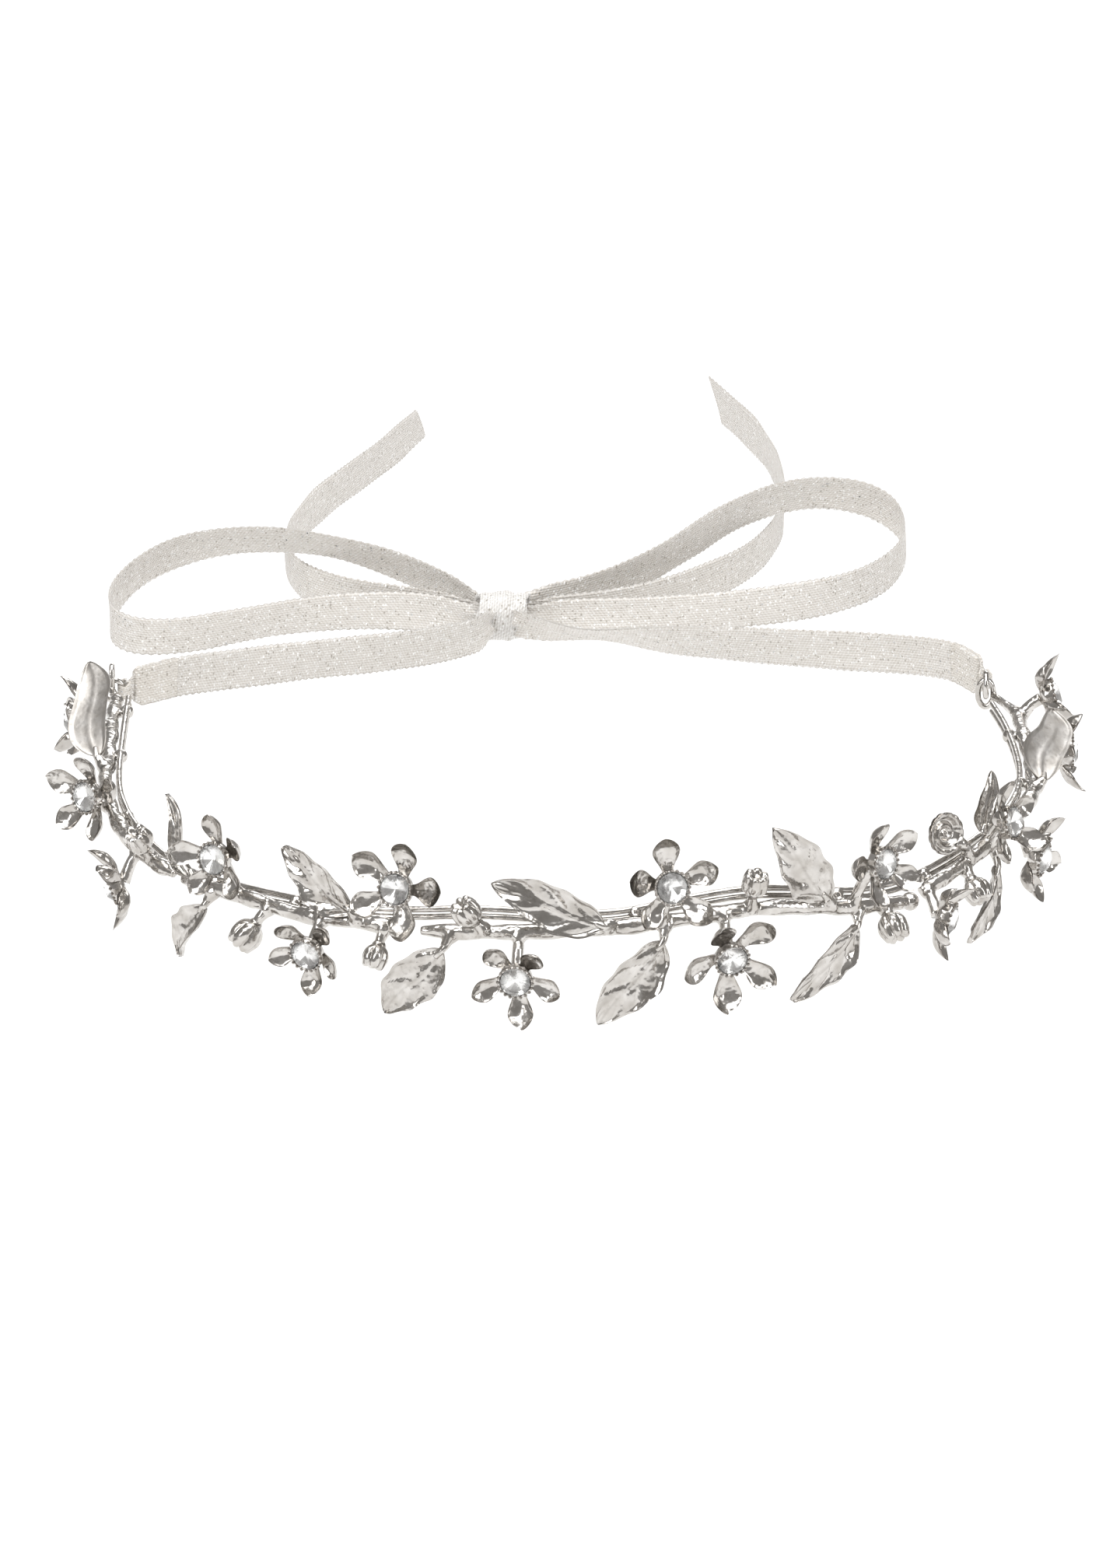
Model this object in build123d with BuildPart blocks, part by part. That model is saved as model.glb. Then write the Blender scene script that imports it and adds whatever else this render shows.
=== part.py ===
"""Vine flower crown with a ribbon tie.

A silver-plated cast vine stands on its lowest leaf tips.  Four cast stems are soldered along two round
base wires that run round the head, and every flower, leaf and bud is soldered to its stem.  A cast loop
at each end carries a jump ring, and a ribbon folded round each jump ring is tied in one bow behind.

Millimetres, +Z up, +X to the wearer's left of the front view, +Y from the front towards the tie.
The origin is at the bottom centre of the metal crown.
"""
from build123d import *
from math import cos, radians, sin, tan
import os

os.makedirs("parts", exist_ok=True)

# --- the ring that the vine follows -------------------------------------------------------------
RING_RADIUS = 73.0          # head radius at the stem centre line
RING_BACK = 18.25           # the front arc's centre lies this far behind the origin
RING_ASIDE = 0.6            # and this far to +X of it
BASE_HEIGHT = 13.15         # mean height of the stems over the surface the crown stands on
SIDE_LENGTH = 41.0          # length of the straight run behind each end of the front half circle
LEFT_LEAN = 0.5             # how far each side run leans inwards at its end
RIGHT_LEAN = 5.0

# --- sections -----------------------------------------------------------------------------------
STEM_RADIUS = 1.05
WIRE_RADIUS = 0.5
WIRE_INSET = 2.0            # the wires run this far inside the stems
WIRE_GAP = 1.25             # centre distance of the two wires, one above the other
STALK_RADIUS = 0.7
STALK_PAST = 0.3            # a stalk is cut from a rod that starts this far past its stem's centre line
PAD_RADIUS = 0.8            # solder pads between a stem and the wires
STEM_TIP_BALL = 1.5
BAR_IN = 0.4                # the short bar to an end loop starts this far past its stem's end
LEFT_BAR_LOW = 1.3          # where that bar meets its loop, below the loop's middle
RIGHT_BAR_LOW = 0.4

# --- flowers, leaves, buds ----------------------------------------------------------------------
PETALS = 5
PETAL_REACH = 5.5           # centre of the petal's round end
PETAL_END_RADIUS = 1.95
PETAL_NECK_RADIUS = 0.95
PETAL_NECK_AT = 2.2
PETAL_THICKNESS = 0.8
PETAL_LIFT = 22.0           # degrees that a petal rises from the flower's plane
CUP_RADIUS = 2.75
CUP_BACK = 0.6
CUP_RIM = 1.6
POCKET_RADIUS = 2.38
POCKET_FLOOR = 0.4
CRYSTAL_RADIUS = 2.32       # a 4.7 mm stone
CRYSTAL_TABLE_RADIUS = 1.35
CRYSTAL_FOOT_RADIUS = 0.7
CRYSTAL_GIRDLE_LOW = 1.2
CRYSTAL_GIRDLE_HIGH = 1.45
CRYSTAL_TOP = 2.4
LEAF_THICKNESS = 0.8
LEAF_STALK_IN = 0.6         # a leaf's stalk ends this far inside the blade's foot
RIB_RADIUS = 0.5
RIB_PART = 0.8              # the part of the blade's length that the midrib runs
BUD_RADIUS = 2.35
BUD_TOP = 2.2
BUD_DIMPLE = 1.5
BUD_MOUTH = 0.45            # radius of the open top against the bud's radius
CORNER_REACH = 0.45         # the part of the shorter run beside it that a route's rounded corner takes
LEFT_SLIT = 0.6             # how far each jump ring's cut is turned away from straight aside or up
RIGHT_SLIT = 0.4

# --- end loops, jump rings and ribbon -----------------------------------------------------------
LOOP_WIRE = 0.5             # wire radius of the cast end loops
LOOP_HALF_WIDTH = 1.25      # half sizes of the loop's centre line
LOOP_HALF_HEIGHT = 2.3
JUMP_RADIUS = 1.95          # centre line of the jump ring
JUMP_WIRE = 0.45
JUMP_SLIT = 0.08
TIE_Y = 42.0                # both rings swing about the line y = TIE_Y, z = TIE_Z of the ring frame
TIE_Z = 14.6
LEFT_LOOP_X = -73.5
RIGHT_LOOP_X = 67.0
REST_DROP = 75.0            # degrees that the rings hang below the horizontal
LOOP_TO_JUMP = 0.95         # right ring centre to the loop wire that it hangs on
RIBBON_WIDTH = 6.35
RIBBON_THICKNESS = 0.45
FOLD_RADIUS = 1.1
FOLD_HEIGHT = 1.6
FOLD_THICKNESS = 0.3
HEM_START = 2.0
HEM_THICKNESS = 1.0
KNOT_SIZE = (6.0, 7.0, 7.0)
KNOT_ROUND = 1.2
KNOT_CENTRE = (-11.3, 104.7, 3.7)


def at(x, y, z):
    """A point given from the centre of the ring's front arc, in the crown's own frame."""
    return Vector(x + RING_ASIDE, y + RING_BACK, z)


def ring_axes(angle):
    """Outward and forward-running unit vectors of the ring at an angle from its front, + to +X.

    Past 90 degrees the ring runs straight back, and the angle goes on counting its length.
    """
    side = 1 if angle > 0 else -1
    if abs(angle) <= 90:
        turned = radians(angle)
        return Vector(sin(turned), -cos(turned), 0), Vector(cos(turned), sin(turned), 0)
    return Vector(side, 0, 0), Vector(0, side, 0)


def on_ring(angle, out=0.0, up=0.0):
    """The point at an angle round the ring, so far outside the stem line, so far over its mean height."""
    side = 1 if angle > 0 else -1
    if abs(angle) <= 90:
        outward, _ = ring_axes(angle)
        reach = outward * (RING_RADIUS + out)
        return at(reach.X, reach.Y, BASE_HEIGHT + up)
    back = radians(abs(angle) - 90) * RING_RADIUS
    lean = (RIGHT_LEAN if side > 0 else LEFT_LEAN) * (back / SIDE_LENGTH) ** 2
    return at(side * (RING_RADIUS - lean + out), back, BASE_HEIGHT + up)


def corner_radii(points):
    """For each inner point, the radius whose tangents reach CORNER_REACH of its shorter run."""
    radii = []
    for before, here, after in zip(points, points[1:], points[2:]):
        turn = (here - before).get_angle(after - here)
        run = min((here - before).length, (after - here).length)
        radii.append(CORNER_REACH * run / tan(radians(turn / 2)))
    return radii


def save(builder, name):
    builder.part.label = name
    export_step(builder.part, f"parts/{name}.step")
    print(f"{name}: {len(builder.part.solids())} solid, {builder.part.volume:.1f} mm3")


def round_bar(points, radius):
    """A solid round bar along straight runs joined by tangent arcs."""
    points = [Vector(p) for p in points]
    with BuildPart() as bar:
        with BuildLine() as path:
            FilletPolyline(*points, radius=corner_radii(points))
        with BuildSketch(Plane(origin=points[0], z_dir=points[1] - points[0])):
            Circle(radius)
        sweep(path=path.line)
    return bar.part


# --- base wires ---------------------------------------------------------------------------------
# (angle, height of the pair's middle over the mean) round the ring
WIRE_LINE = [
    (-118, 0.0), (-110, 0.1), (-101, -0.1), (-92, -0.2), (-83, -0.1), (-74, -0.6), (-65, -1.3),
    (-56, -1.6), (-47, -0.4), (-38, 0.4), (-29, 1.0), (-20, 2.2), (-11, 3.7), (-2, 3.3), (6, 3.2),
    (14, 4.9), (22, 5.5), (30, 3.8), (38, 1.2), (46, 0.4), (55, 1.0), (64, 1.4), (73, 1.2), (82, 0.8),
    (91, 0.4), (100, 0.1), (109, 0.0), (116, -0.2),
]


def base_wire(shift):
    return round_bar([on_ring(a, -WIRE_INSET, up + shift) for a, up in WIRE_LINE], WIRE_RADIUS)


wires = {"base_wire_upper": base_wire(WIRE_GAP / 2), "base_wire_lower": base_wire(-WIRE_GAP / 2)}
for name, solid in wires.items():
    with BuildPart() as wire:
        add(solid)
    save(wire, name)


def wire_height(angle):
    """Height over the mean of the middle of the wire pair, between the points of its line."""
    for (a, up_a), (b, up_b) in zip(WIRE_LINE, WIRE_LINE[1:]):
        if a <= angle <= b:
            return up_a + (up_b - up_a) * (angle - a) / (b - a)
    raise ValueError(angle)


# --- stems --------------------------------------------------------------------------------------
# stem: points (angle, outward, up), then the angles of its solder pads
STEMS = {
    "left_side_stem": (
        [(-119.5, 0, -0.6), (-112, 0.2, -0.3), (-104, 0, 0.2), (-96, -0.1, -0.3), (-88, 0.1, 0.1),
         (-80, 0, 0.2), (-72, 0.1, -0.6), (-64, 0, -1.1), (-56.5, 0.1, -1.3)],
        [-114, -98, -76, -60],
    ),
    "left_front_stem": (
        [(-54.5, 0, -1.3), (-48, 0.1, -0.4), (-41, 0, 0.0), (-34, 0.1, -0.2), (-27, 0, 0.4),
         (-20, 0.1, 0.8)],
        [-50, -36, -28],
    ),
    "centre_stem": (
        [(-18, 0, 0.5), (-10, 0.1, 1.2), (-2, 0, 1.8), (6, 0.1, 2.3), (13, 0, 2.9), (20, 0.1, 3.4),
         (27, 0, 2.7), (34, 0.1, 0.9), (40, 0, -0.5), (45.5, 0.1, -1.6)],
        [1, 8, 35],
    ),
    "right_side_stem": (
        [(47.5, 0, -0.6), (54, 0.1, 0.2), (61, 0, 1.2), (68, 0.1, 1.6), (76, 0, 1.2), (84, 0.1, 0.6),
         (92, 0, 0.2), (100, 0.1, -0.2), (108, 0.6, 0.0), (115, 1.6, -0.6)],
        [50, 66, 86, 105],
    ),
}


def stem_point(name, angle):
    """The point on a stem's centre line at an angle, between the points of its line."""
    line = STEMS[name][0]
    for (a, out_a, up_a), (b, out_b, up_b) in zip(line, line[1:]):
        if a <= angle <= b:
            part = (angle - a) / (b - a)
            return on_ring(angle, out_a + (out_b - out_a) * part, up_a + (up_b - up_a) * part)
    raise ValueError((name, angle))


def rod(start, end, radius):
    """A plain round rod from one point to another."""
    with BuildPart() as bar:
        with BuildSketch(Plane(origin=start, z_dir=end - start)):
            Circle(radius)
        extrude(amount=(end - start).length)
    return bar.part


def oval_loop(centre, across):
    """A cast end loop: a round wire along an oval that stands upright along across."""
    plane = Plane(origin=centre, x_dir=across, z_dir=across.cross(Vector(0, 0, 1)))
    straight = LOOP_HALF_HEIGHT - LOOP_HALF_WIDTH
    with BuildPart() as loop:
        with BuildLine(plane) as oval:
            Line((LOOP_HALF_WIDTH, -straight), (LOOP_HALF_WIDTH, straight))
            ThreePointArc((LOOP_HALF_WIDTH, straight), (0, LOOP_HALF_HEIGHT), (-LOOP_HALF_WIDTH, straight))
            Line((-LOOP_HALF_WIDTH, straight), (-LOOP_HALF_WIDTH, -straight))
            ThreePointArc((-LOOP_HALF_WIDTH, -straight), (0, -LOOP_HALF_HEIGHT), (LOOP_HALF_WIDTH, -straight))
        with BuildSketch(Plane(origin=centre + across * LOOP_HALF_WIDTH, z_dir=Vector(0, 0, 1))):
            Circle(LOOP_WIRE)
        sweep(path=oval.line)
    return loop.part


left_loop_centre = at(LEFT_LOOP_X, TIE_Y, TIE_Z)
right_loop_centre = at(RIGHT_LOOP_X, TIE_Y, TIE_Z - LOOP_HALF_HEIGHT)

stem_bars = {
    name: round_bar([on_ring(*point) for point in line], STEM_RADIUS) for name, (line, _) in STEMS.items()
}
stems = {}
for name, (line, pads) in STEMS.items():
    with BuildPart() as stem:
        add(stem_bars[name])
        for angle in pads:
            add(rod(stem_point(name, angle), on_ring(angle, -WIRE_INSET, wire_height(angle)), PAD_RADIUS))
        if name == "centre_stem":
            with Locations(on_ring(*line[-1])):
                Sphere(STEM_TIP_BALL)
        if name == "left_side_stem":
            add(oval_loop(left_loop_centre, Vector(0, 1, 0)))
            foot = left_loop_centre - Vector(0, LOOP_HALF_WIDTH, LEFT_BAR_LOW)
            add(rod(on_ring(*line[0]) - Vector(0, BAR_IN, 0), foot, STALK_RADIUS))
        if name == "right_side_stem":
            add(oval_loop(right_loop_centre, Vector(1, 0, 0)))
            foot = right_loop_centre + Vector(LOOP_HALF_WIDTH, 0, -RIGHT_BAR_LOW)
            add(rod(on_ring(*line[-1]) - Vector(0, BAR_IN, 0), foot, STALK_RADIUS))
        for solid in wires.values():
            add(solid, mode=Mode.SUBTRACT)
    stems[name] = stem.part
    save(stem, name)


def trim_to_metal(own_stem):
    """Inside a part, copes it over the stem that it is soldered to, and clears the wires."""
    add(stems[own_stem], mode=Mode.SUBTRACT)
    for solid in wires.values():
        add(solid, mode=Mode.SUBTRACT)


def stalk(stem_name, root, end):
    """A stalk from a stem's side to a point, coped over the stem at its root."""
    start = stem_point(stem_name, root)
    way = (end - start).normalized()
    with BuildPart() as bar:
        add(rod(start - way * STALK_PAST, end, STALK_RADIUS))
        add(stem_bars[stem_name], mode=Mode.SUBTRACT)
    return bar.part


# --- flowers ------------------------------------------------------------------------------------
# name: stem, angle of the stalk's root, centre (angle, outward, up), turned forward-running, tilted up, roll,
# and the size of its petals against the common petal
FLOWERS = {
    "flower_01": ("left_side_stem", -108, (-109.5, 5.2, 1.0), 0, 0, 20, 0.85),
    "flower_02": ("left_side_stem", -79, (-78.5, 3.2, 2.5), 35, 5, 0, 0.95),
    "flower_03": ("left_side_stem", -66, (-65.5, 3.6, -6.0), -15, -20, 36, 0.95),
    "flower_04": ("left_front_stem", -44, (-44.2, 4.0, 7.0), 10, 5, 10, 0.9),
    "flower_05": ("left_front_stem", -31, (-30.7, 4.5, -3.8), 5, -12, 36, 0.8),
    "flower_06": ("left_front_stem", -21, (-19.5, 4.5, 8.6), -5, 15, -16, 1.05),
    "flower_07": ("centre_stem", -6, (-6, 4.5, -4.2), 0, -10, 40, 0.9),
    "flower_08": ("centre_stem", 11, (11.3, 4.5, 10.0), 0, 14, 4, 0.98),
    "flower_09": ("centre_stem", 18.5, (18.2, 4.5, -2.0), 0, -12, 27, 1.08),
    "flower_10": ("centre_stem", 36, (37.3, 4.5, 8.6), 10, 5, 12, 0.95),
    "flower_11": ("right_side_stem", 48.5, (47.3, 4.5, -3.6), 28, -14, 25, 0.78),
    "flower_12": ("right_side_stem", 62.3, (61.6, 3.4, 5.8), 0, 12, 0, 0.85),
    "flower_13": ("right_side_stem", 71.3, (69.6, 4.0, -3.4), 0, -10, 36, 0.88),
    "flower_14": ("right_side_stem", 98, (97.5, 5.2, 1.0), 0, 0, 10, 0.85),
    "flower_15": ("right_side_stem", 113, (113, 5.6, 3.0), 0, 15, 30, 0.85),
}


def facing_plane(centre, turn, tilt):
    """A plane at a ring position that faces outwards, turned along the ring and tilted upwards."""
    outward, along = ring_axes(centre[0])
    level = outward * cos(radians(turn)) + along * sin(radians(turn))
    face = level * cos(radians(tilt)) + Vector(0, 0, 1) * sin(radians(tilt))
    sideways = Vector(0, 0, 1).cross(face)
    return Plane(origin=on_ring(*centre), x_dir=sideways, z_dir=face)


def petal_plane(flower, spin):
    """The plane of one petal: it runs out at an angle round the flower and rises with PETAL_LIFT."""
    out = flower.x_dir * cos(radians(spin)) + flower.y_dir * sin(radians(spin))
    lift = radians(PETAL_LIFT)
    return Plane(
        origin=flower.origin,
        x_dir=out * cos(lift) + flower.z_dir * sin(lift),
        z_dir=flower.z_dir * cos(lift) - out * sin(lift),
    )


flower_planes = {}
for name, (stem_name, root, centre, turn, tilt, roll, size) in FLOWERS.items():
    plane = facing_plane(centre, turn, tilt)
    flower_planes[name] = plane
    with BuildPart() as flower:
        with BuildSketch(plane.offset(-CUP_BACK)):
            Circle(CUP_RADIUS)
        extrude(amount=CUP_BACK + CUP_RIM)
        for k in range(PETALS):
            with BuildSketch(petal_plane(plane, 90 + roll + 360 / PETALS * k)):
                with Locations((PETAL_NECK_AT, 0)):
                    Circle(PETAL_NECK_RADIUS)
                with Locations((PETAL_REACH * size, 0)):
                    Circle(PETAL_END_RADIUS * size)
                make_hull()
            extrude(amount=PETAL_THICKNESS / 2, both=True)
        add(stalk(stem_name, root, plane.origin))
        with BuildSketch(plane.offset(POCKET_FLOOR)):
            Circle(POCKET_RADIUS)
        extrude(amount=2 * CUP_RIM, mode=Mode.SUBTRACT)
        trim_to_metal(stem_name)
    save(flower, name)

# --- crystals, one group for each stem ----------------------------------------------------------
for stem_name in STEMS:
    with BuildPart() as crystals:
        for name, spec in FLOWERS.items():
            if spec[0] != stem_name:
                continue
            seat = flower_planes[name]
            upright = Plane(origin=seat.origin, x_dir=seat.x_dir, z_dir=-seat.y_dir)
            with BuildSketch(upright):
                with BuildLine():
                    Polyline(
                        (0, POCKET_FLOOR), (CRYSTAL_FOOT_RADIUS, POCKET_FLOOR),
                        (CRYSTAL_RADIUS, CRYSTAL_GIRDLE_LOW), (CRYSTAL_RADIUS, CRYSTAL_GIRDLE_HIGH),
                        (CRYSTAL_TABLE_RADIUS, CRYSTAL_TOP), (0, CRYSTAL_TOP), close=True,
                    )
                make_face()
            revolve(axis=Axis(seat.origin, seat.z_dir))
    save(crystals, stem_name.replace("stem", "crystals"))

# --- leaves -------------------------------------------------------------------------------------
# name: stem, angle of the stalk's root, blade foot and blade tip (angle, outward, up), width, roll
LEAVES = {
    "leaf_01": ("left_side_stem", -93, (-94, 1.6, 1.8), (-105, 3.6, 13.0), 7.5, -60),
    "leaf_02": ("left_front_stem", -52, (-51.2, 1.2, 0.4), (-57.6, 1.0, 11.6), 3.6, -10),
    "leaf_03": ("left_front_stem", -48, (-48.5, 2.0, -3.0), (-53.4, 3.0, -12.6), 7.0, -20),
    "leaf_04": ("left_front_stem", -26, (-26.5, 1.0, 2.2), (-36, 2.0, 10.5), 7.0, 0),
    "leaf_05": ("centre_stem", -14, (-15, 2.0, -1.6), (-22.2, 2.5, -12.8), 7.5, 0),
    "leaf_06": ("centre_stem", 5, (4.0, 2.0, 3.2), (-9, 2.5, 9.8), 7.0, -10),
    "leaf_07": ("centre_stem", 11.5, (10.8, 2.0, 0.2), (3.3, 2.5, -12.8), 7.5, 0),
    "leaf_08": ("centre_stem", 33, (32.0, 1.0, 3.0), (24.8, 1.5, 15.8), 7.5, 10),
    "leaf_09": ("centre_stem", 37, (35.8, 2.0, -2.0), (27.0, 3.0, -12.0), 6.5, 10),
    "leaf_10": ("right_side_stem", 57, (56.5, 0.5, 3.2), (51.4, -2.2, 8.5), 7.0, 0),
    "leaf_11": ("right_side_stem", 63.4, (61.8, 2.1, -1.8), (55.5, 3.0, -11.8), 6.5, 10),
    "leaf_12": ("right_side_stem", 64.8, (62.4, -0.8, 3.0), (64.4, -0.6, 12.4), 3.6, 60),
    "leaf_13": ("right_side_stem", 84, (84.5, 1.6, 2.2), (96.5, 3.6, 9.0), 7.5, 60),
}


def blade_plane(foot, tip, roll):
    """The plane of a leaf: x from foot to tip, facing outwards at its middle, rolled about its length."""
    start, end = on_ring(*foot), on_ring(*tip)
    length_way = (end - start).normalized()
    outward, _ = ring_axes((foot[0] + tip[0]) / 2)
    sideways = outward.cross(length_way).normalized()
    face = length_way.cross(sideways)
    rolled = face * cos(radians(roll)) + sideways * sin(radians(roll))
    return Plane(origin=start, x_dir=length_way, z_dir=rolled), (end - start).length


for name, (stem_name, root, foot, tip, width, roll) in LEAVES.items():
    plane, length = blade_plane(foot, tip, roll)
    with BuildPart() as leaf:
        with BuildSketch(plane):
            with BuildLine():
                ThreePointArc((0, 0), (length / 2, width / 2), (length, 0))
                ThreePointArc((length, 0), (length / 2, -width / 2), (0, 0))
            make_face()
        extrude(amount=LEAF_THICKNESS / 2, both=True)
        add(rod(plane.origin, plane.origin + plane.x_dir * (RIB_PART * length), RIB_RADIUS))
        add(stalk(stem_name, root, plane.origin + plane.x_dir * LEAF_STALK_IN))
        trim_to_metal(stem_name)
    save(leaf, name)

# --- buds ---------------------------------------------------------------------------------------
# name: stem, angle of the stalk's root, centre (angle, outward, up), size against the common bud
BUDS = {
    "bud_01": ("left_side_stem", -62, (-61.0, 3.0, 3.2), 1.0),
    "bud_02": ("left_front_stem", -38.6, (-40.6, 3.0, -4.7), 1.1),
    "bud_03": ("left_front_stem", -22.5, (-23.0, 2.5, -3.8), 0.9),
    "bud_04": ("centre_stem", -10, (-12.0, 2.0, 5.0), 1.0),
    "bud_05": ("centre_stem", 22, (22.0, 2.0, 8.2), 0.95),
    "bud_06": ("centre_stem", 41, (40.6, 3.0, -3.4), 1.05),
    "bud_07": ("right_side_stem", 56, (55.2, 3.4, -2.8), 0.95),
}

for name, (stem_name, root, centre, size) in BUDS.items():
    middle = on_ring(*centre)
    growth = (middle - stem_point(stem_name, root)).normalized()
    side = growth.cross(ring_axes(centre[0])[1]).normalized()
    upright = Plane(origin=middle, x_dir=side, z_dir=side.cross(growth))
    radius = BUD_RADIUS * size
    rim = (BUD_MOUTH * radius, BUD_TOP * size)
    with BuildPart() as bud:
        with BuildSketch(upright):
            with BuildLine():
                ThreePointArc((0, -radius), (0.85 * radius, -0.5 * radius), (radius, 0.1 * radius))
                ThreePointArc((radius, 0.1 * radius), (0.85 * radius, 0.65 * radius), rim)
                Polyline(rim, (0, BUD_DIMPLE * size), (0, -radius))
            make_face()
        revolve(axis=Axis(middle, growth))
        add(stalk(stem_name, root, middle))
        trim_to_metal(stem_name)
    save(bud, name)

# --- jump rings ---------------------------------------------------------------------------------
drop = Vector(0, cos(radians(REST_DROP)), -sin(radians(REST_DROP)))
left_jump_centre = left_loop_centre + drop * JUMP_RADIUS
right_jump_centre = at(RIGHT_LOOP_X, TIE_Y, TIE_Z) + drop * LOOP_TO_JUMP


def jump_ring(name, centre, normal, slit_way):
    """A round wire ring, cut once where its two ends meet."""
    plane = Plane(origin=centre, x_dir=slit_way, z_dir=normal)
    with BuildPart(plane) as ring:
        Torus(JUMP_RADIUS, JUMP_WIRE)
        with Locations((JUMP_RADIUS, 0, 0)):
            Box(4 * JUMP_WIRE, JUMP_SLIT, 4 * JUMP_WIRE, mode=Mode.SUBTRACT)
    save(ring, name)


left_slit_way = drop * LEFT_SLIT - Vector(1, 0, 0)
right_slit_way = drop * -1 - Vector(0, RIGHT_SLIT, 0)
jump_ring("left_jump_ring", left_jump_centre, Vector(1, 0, 0).cross(drop), left_slit_way)
jump_ring("right_jump_ring", right_jump_centre, Vector(1, 0, 0), right_slit_way)

# --- ribbon routes, from the fold at each jump ring to each cut end ------------------------------
# (x, y, z) from the centre of the ring's front arc
LEFT_BAND = [
    (-62.8, 48.9, 12.9), (-54.5, 56.2, 11.4), (-42.0, 67.0, 9.2), (-29.6, 77.1, 7.0), (-20.6, 86.0, 5.3),
    (-14.8, 94.0, 4.1), (-12.6, 101.2, 3.7),
]
LEFT_LOOP = [
    (-14.3, 107.0, 4.0), (-22.0, 114.5, 6.3), (-31.0, 118.4, 8.8), (-41.0, 121.2, 10.6), (-51.0, 123.4, 10.9),
    (-60.0, 123.6, 10.2), (-67.5, 120.5, 9.0), (-73.0, 114.5, 7.4), (-76.3, 106.5, 5.4), (-76.0, 99.0, 4.0),
    (-71.5, 94.8, 3.4), (-64.0, 95.8, 3.3), (-55.5, 100.4, 3.3), (-46.5, 105.4, 3.3), (-37.0, 108.4, 3.3),
    (-27.0, 108.4, 3.4), (-20.0, 105.6, 3.5), (-14.3, 103.2, 3.6),
]
LEFT_TAIL = [
    (-14.3, 105.1, 3.4), (-21.5, 108.9, 3.3), (-30.0, 112.6, 3.3), (-38.0, 116.0, 3.3), (-44.3, 122.4, 3.3),
    (-47.6, 132.0, 3.3), (-47.9, 143.5, 3.3), (-45.2, 156.5, 3.3), (-40.4, 170.5, 3.3), (-34.8, 184.0, 3.3),
    (-29.9, 196.5, 3.3), (-25.8, 208.5, 3.3),
]
RIGHT_BAND = [
    (61.9, 53.8, 13.8), (54.5, 60.8, 12.4), (41.5, 68.6, 10.4), (28.0, 76.9, 8.3), (14.5, 85.3, 6.2),
    (3.0, 93.0, 4.7), (-4.8, 98.0, 3.9), (-9.4, 101.2, 3.6),
]
RIGHT_LOOP = [
    (-8.3, 103.0, 3.6), (0.5, 104.6, 3.4), (11.0, 105.6, 3.3), (22.5, 107.6, 3.3), (34.5, 111.2, 3.3),
    (45.2, 116.8, 3.3), (52.8, 125.0, 3.6), (57.0, 135.0, 4.8), (56.6, 143.4, 7.2), (51.5, 148.2, 9.6),
    (43.5, 149.2, 10.7), (35.2, 145.0, 10.9), (27.4, 136.0, 10.6), (20.2, 125.6, 9.4), (12.2, 117.2, 7.2),
    (2.4, 111.0, 5.2), (-8.3, 107.4, 4.0),
]
RIGHT_TAIL = [
    (-8.3, 105.1, 3.4), (0.5, 107.3, 3.3), (10.5, 111.4, 3.3), (20.6, 119.8, 3.3), (29.2, 130.8, 3.3),
    (34.4, 144.5, 3.3), (36.8, 160.0, 3.3), (36.9, 176.0, 3.3), (34.6, 192.5, 3.3), (30.4, 208.5, 3.3),
    (26.0, 221.5, 3.3),
]


def hem(name, wire_at, wire_way, band_start):
    """The fold round a jump ring's wire and the two sewn layers up to the band."""
    level = Vector(band_start.X - wire_at.X, band_start.Y - wire_at.Y, 0)
    along = level - wire_way * level.dot(wire_way)
    fold_plane = Plane(origin=wire_at, x_dir=along, z_dir=wire_way)
    hem_way = (band_start - wire_at).normalized()
    hem_plane = Plane(origin=wire_at, x_dir=hem_way, z_dir=hem_way.cross(Vector(0, 0, 1).cross(hem_way)))
    reach = (band_start - wire_at).length
    inner, outer = FOLD_RADIUS - FOLD_THICKNESS / 2, FOLD_RADIUS + FOLD_THICKNESS / 2
    with BuildPart() as folded:
        with BuildSketch(fold_plane):
            Circle(outer)
            with Locations((HEM_START / 2, 0)):
                Rectangle(HEM_START, 2 * outer)
            Circle(inner, mode=Mode.SUBTRACT)
            with Locations((inner / 2, 0)):
                Rectangle(inner, 2 * inner, mode=Mode.SUBTRACT)
        extrude(amount=FOLD_HEIGHT / 2, both=True)
        with BuildSketch(hem_plane):
            with Locations(((HEM_START + reach) / 2, 0)):
                Rectangle(reach - HEM_START, HEM_THICKNESS)
        extrude(amount=RIBBON_WIDTH / 2, both=True)
    save(folded, name)
    return folded.part


left_wire = left_jump_centre + Vector(1, 0, 0) * JUMP_RADIUS
right_wire = right_jump_centre + Vector(0, 1, 0) * JUMP_RADIUS
left_hem = hem("left_ribbon_hem", left_wire, drop * -1, at(*LEFT_BAND[0]))
right_hem = hem("right_ribbon_hem", right_wire, Vector(0, 0, 1), at(*RIGHT_BAND[0]))

with BuildPart() as knot:
    with Locations(at(*KNOT_CENTRE)):
        Box(*KNOT_SIZE)
    fillet(knot.edges(), KNOT_ROUND)
save(knot, "bow_knot")


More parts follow.
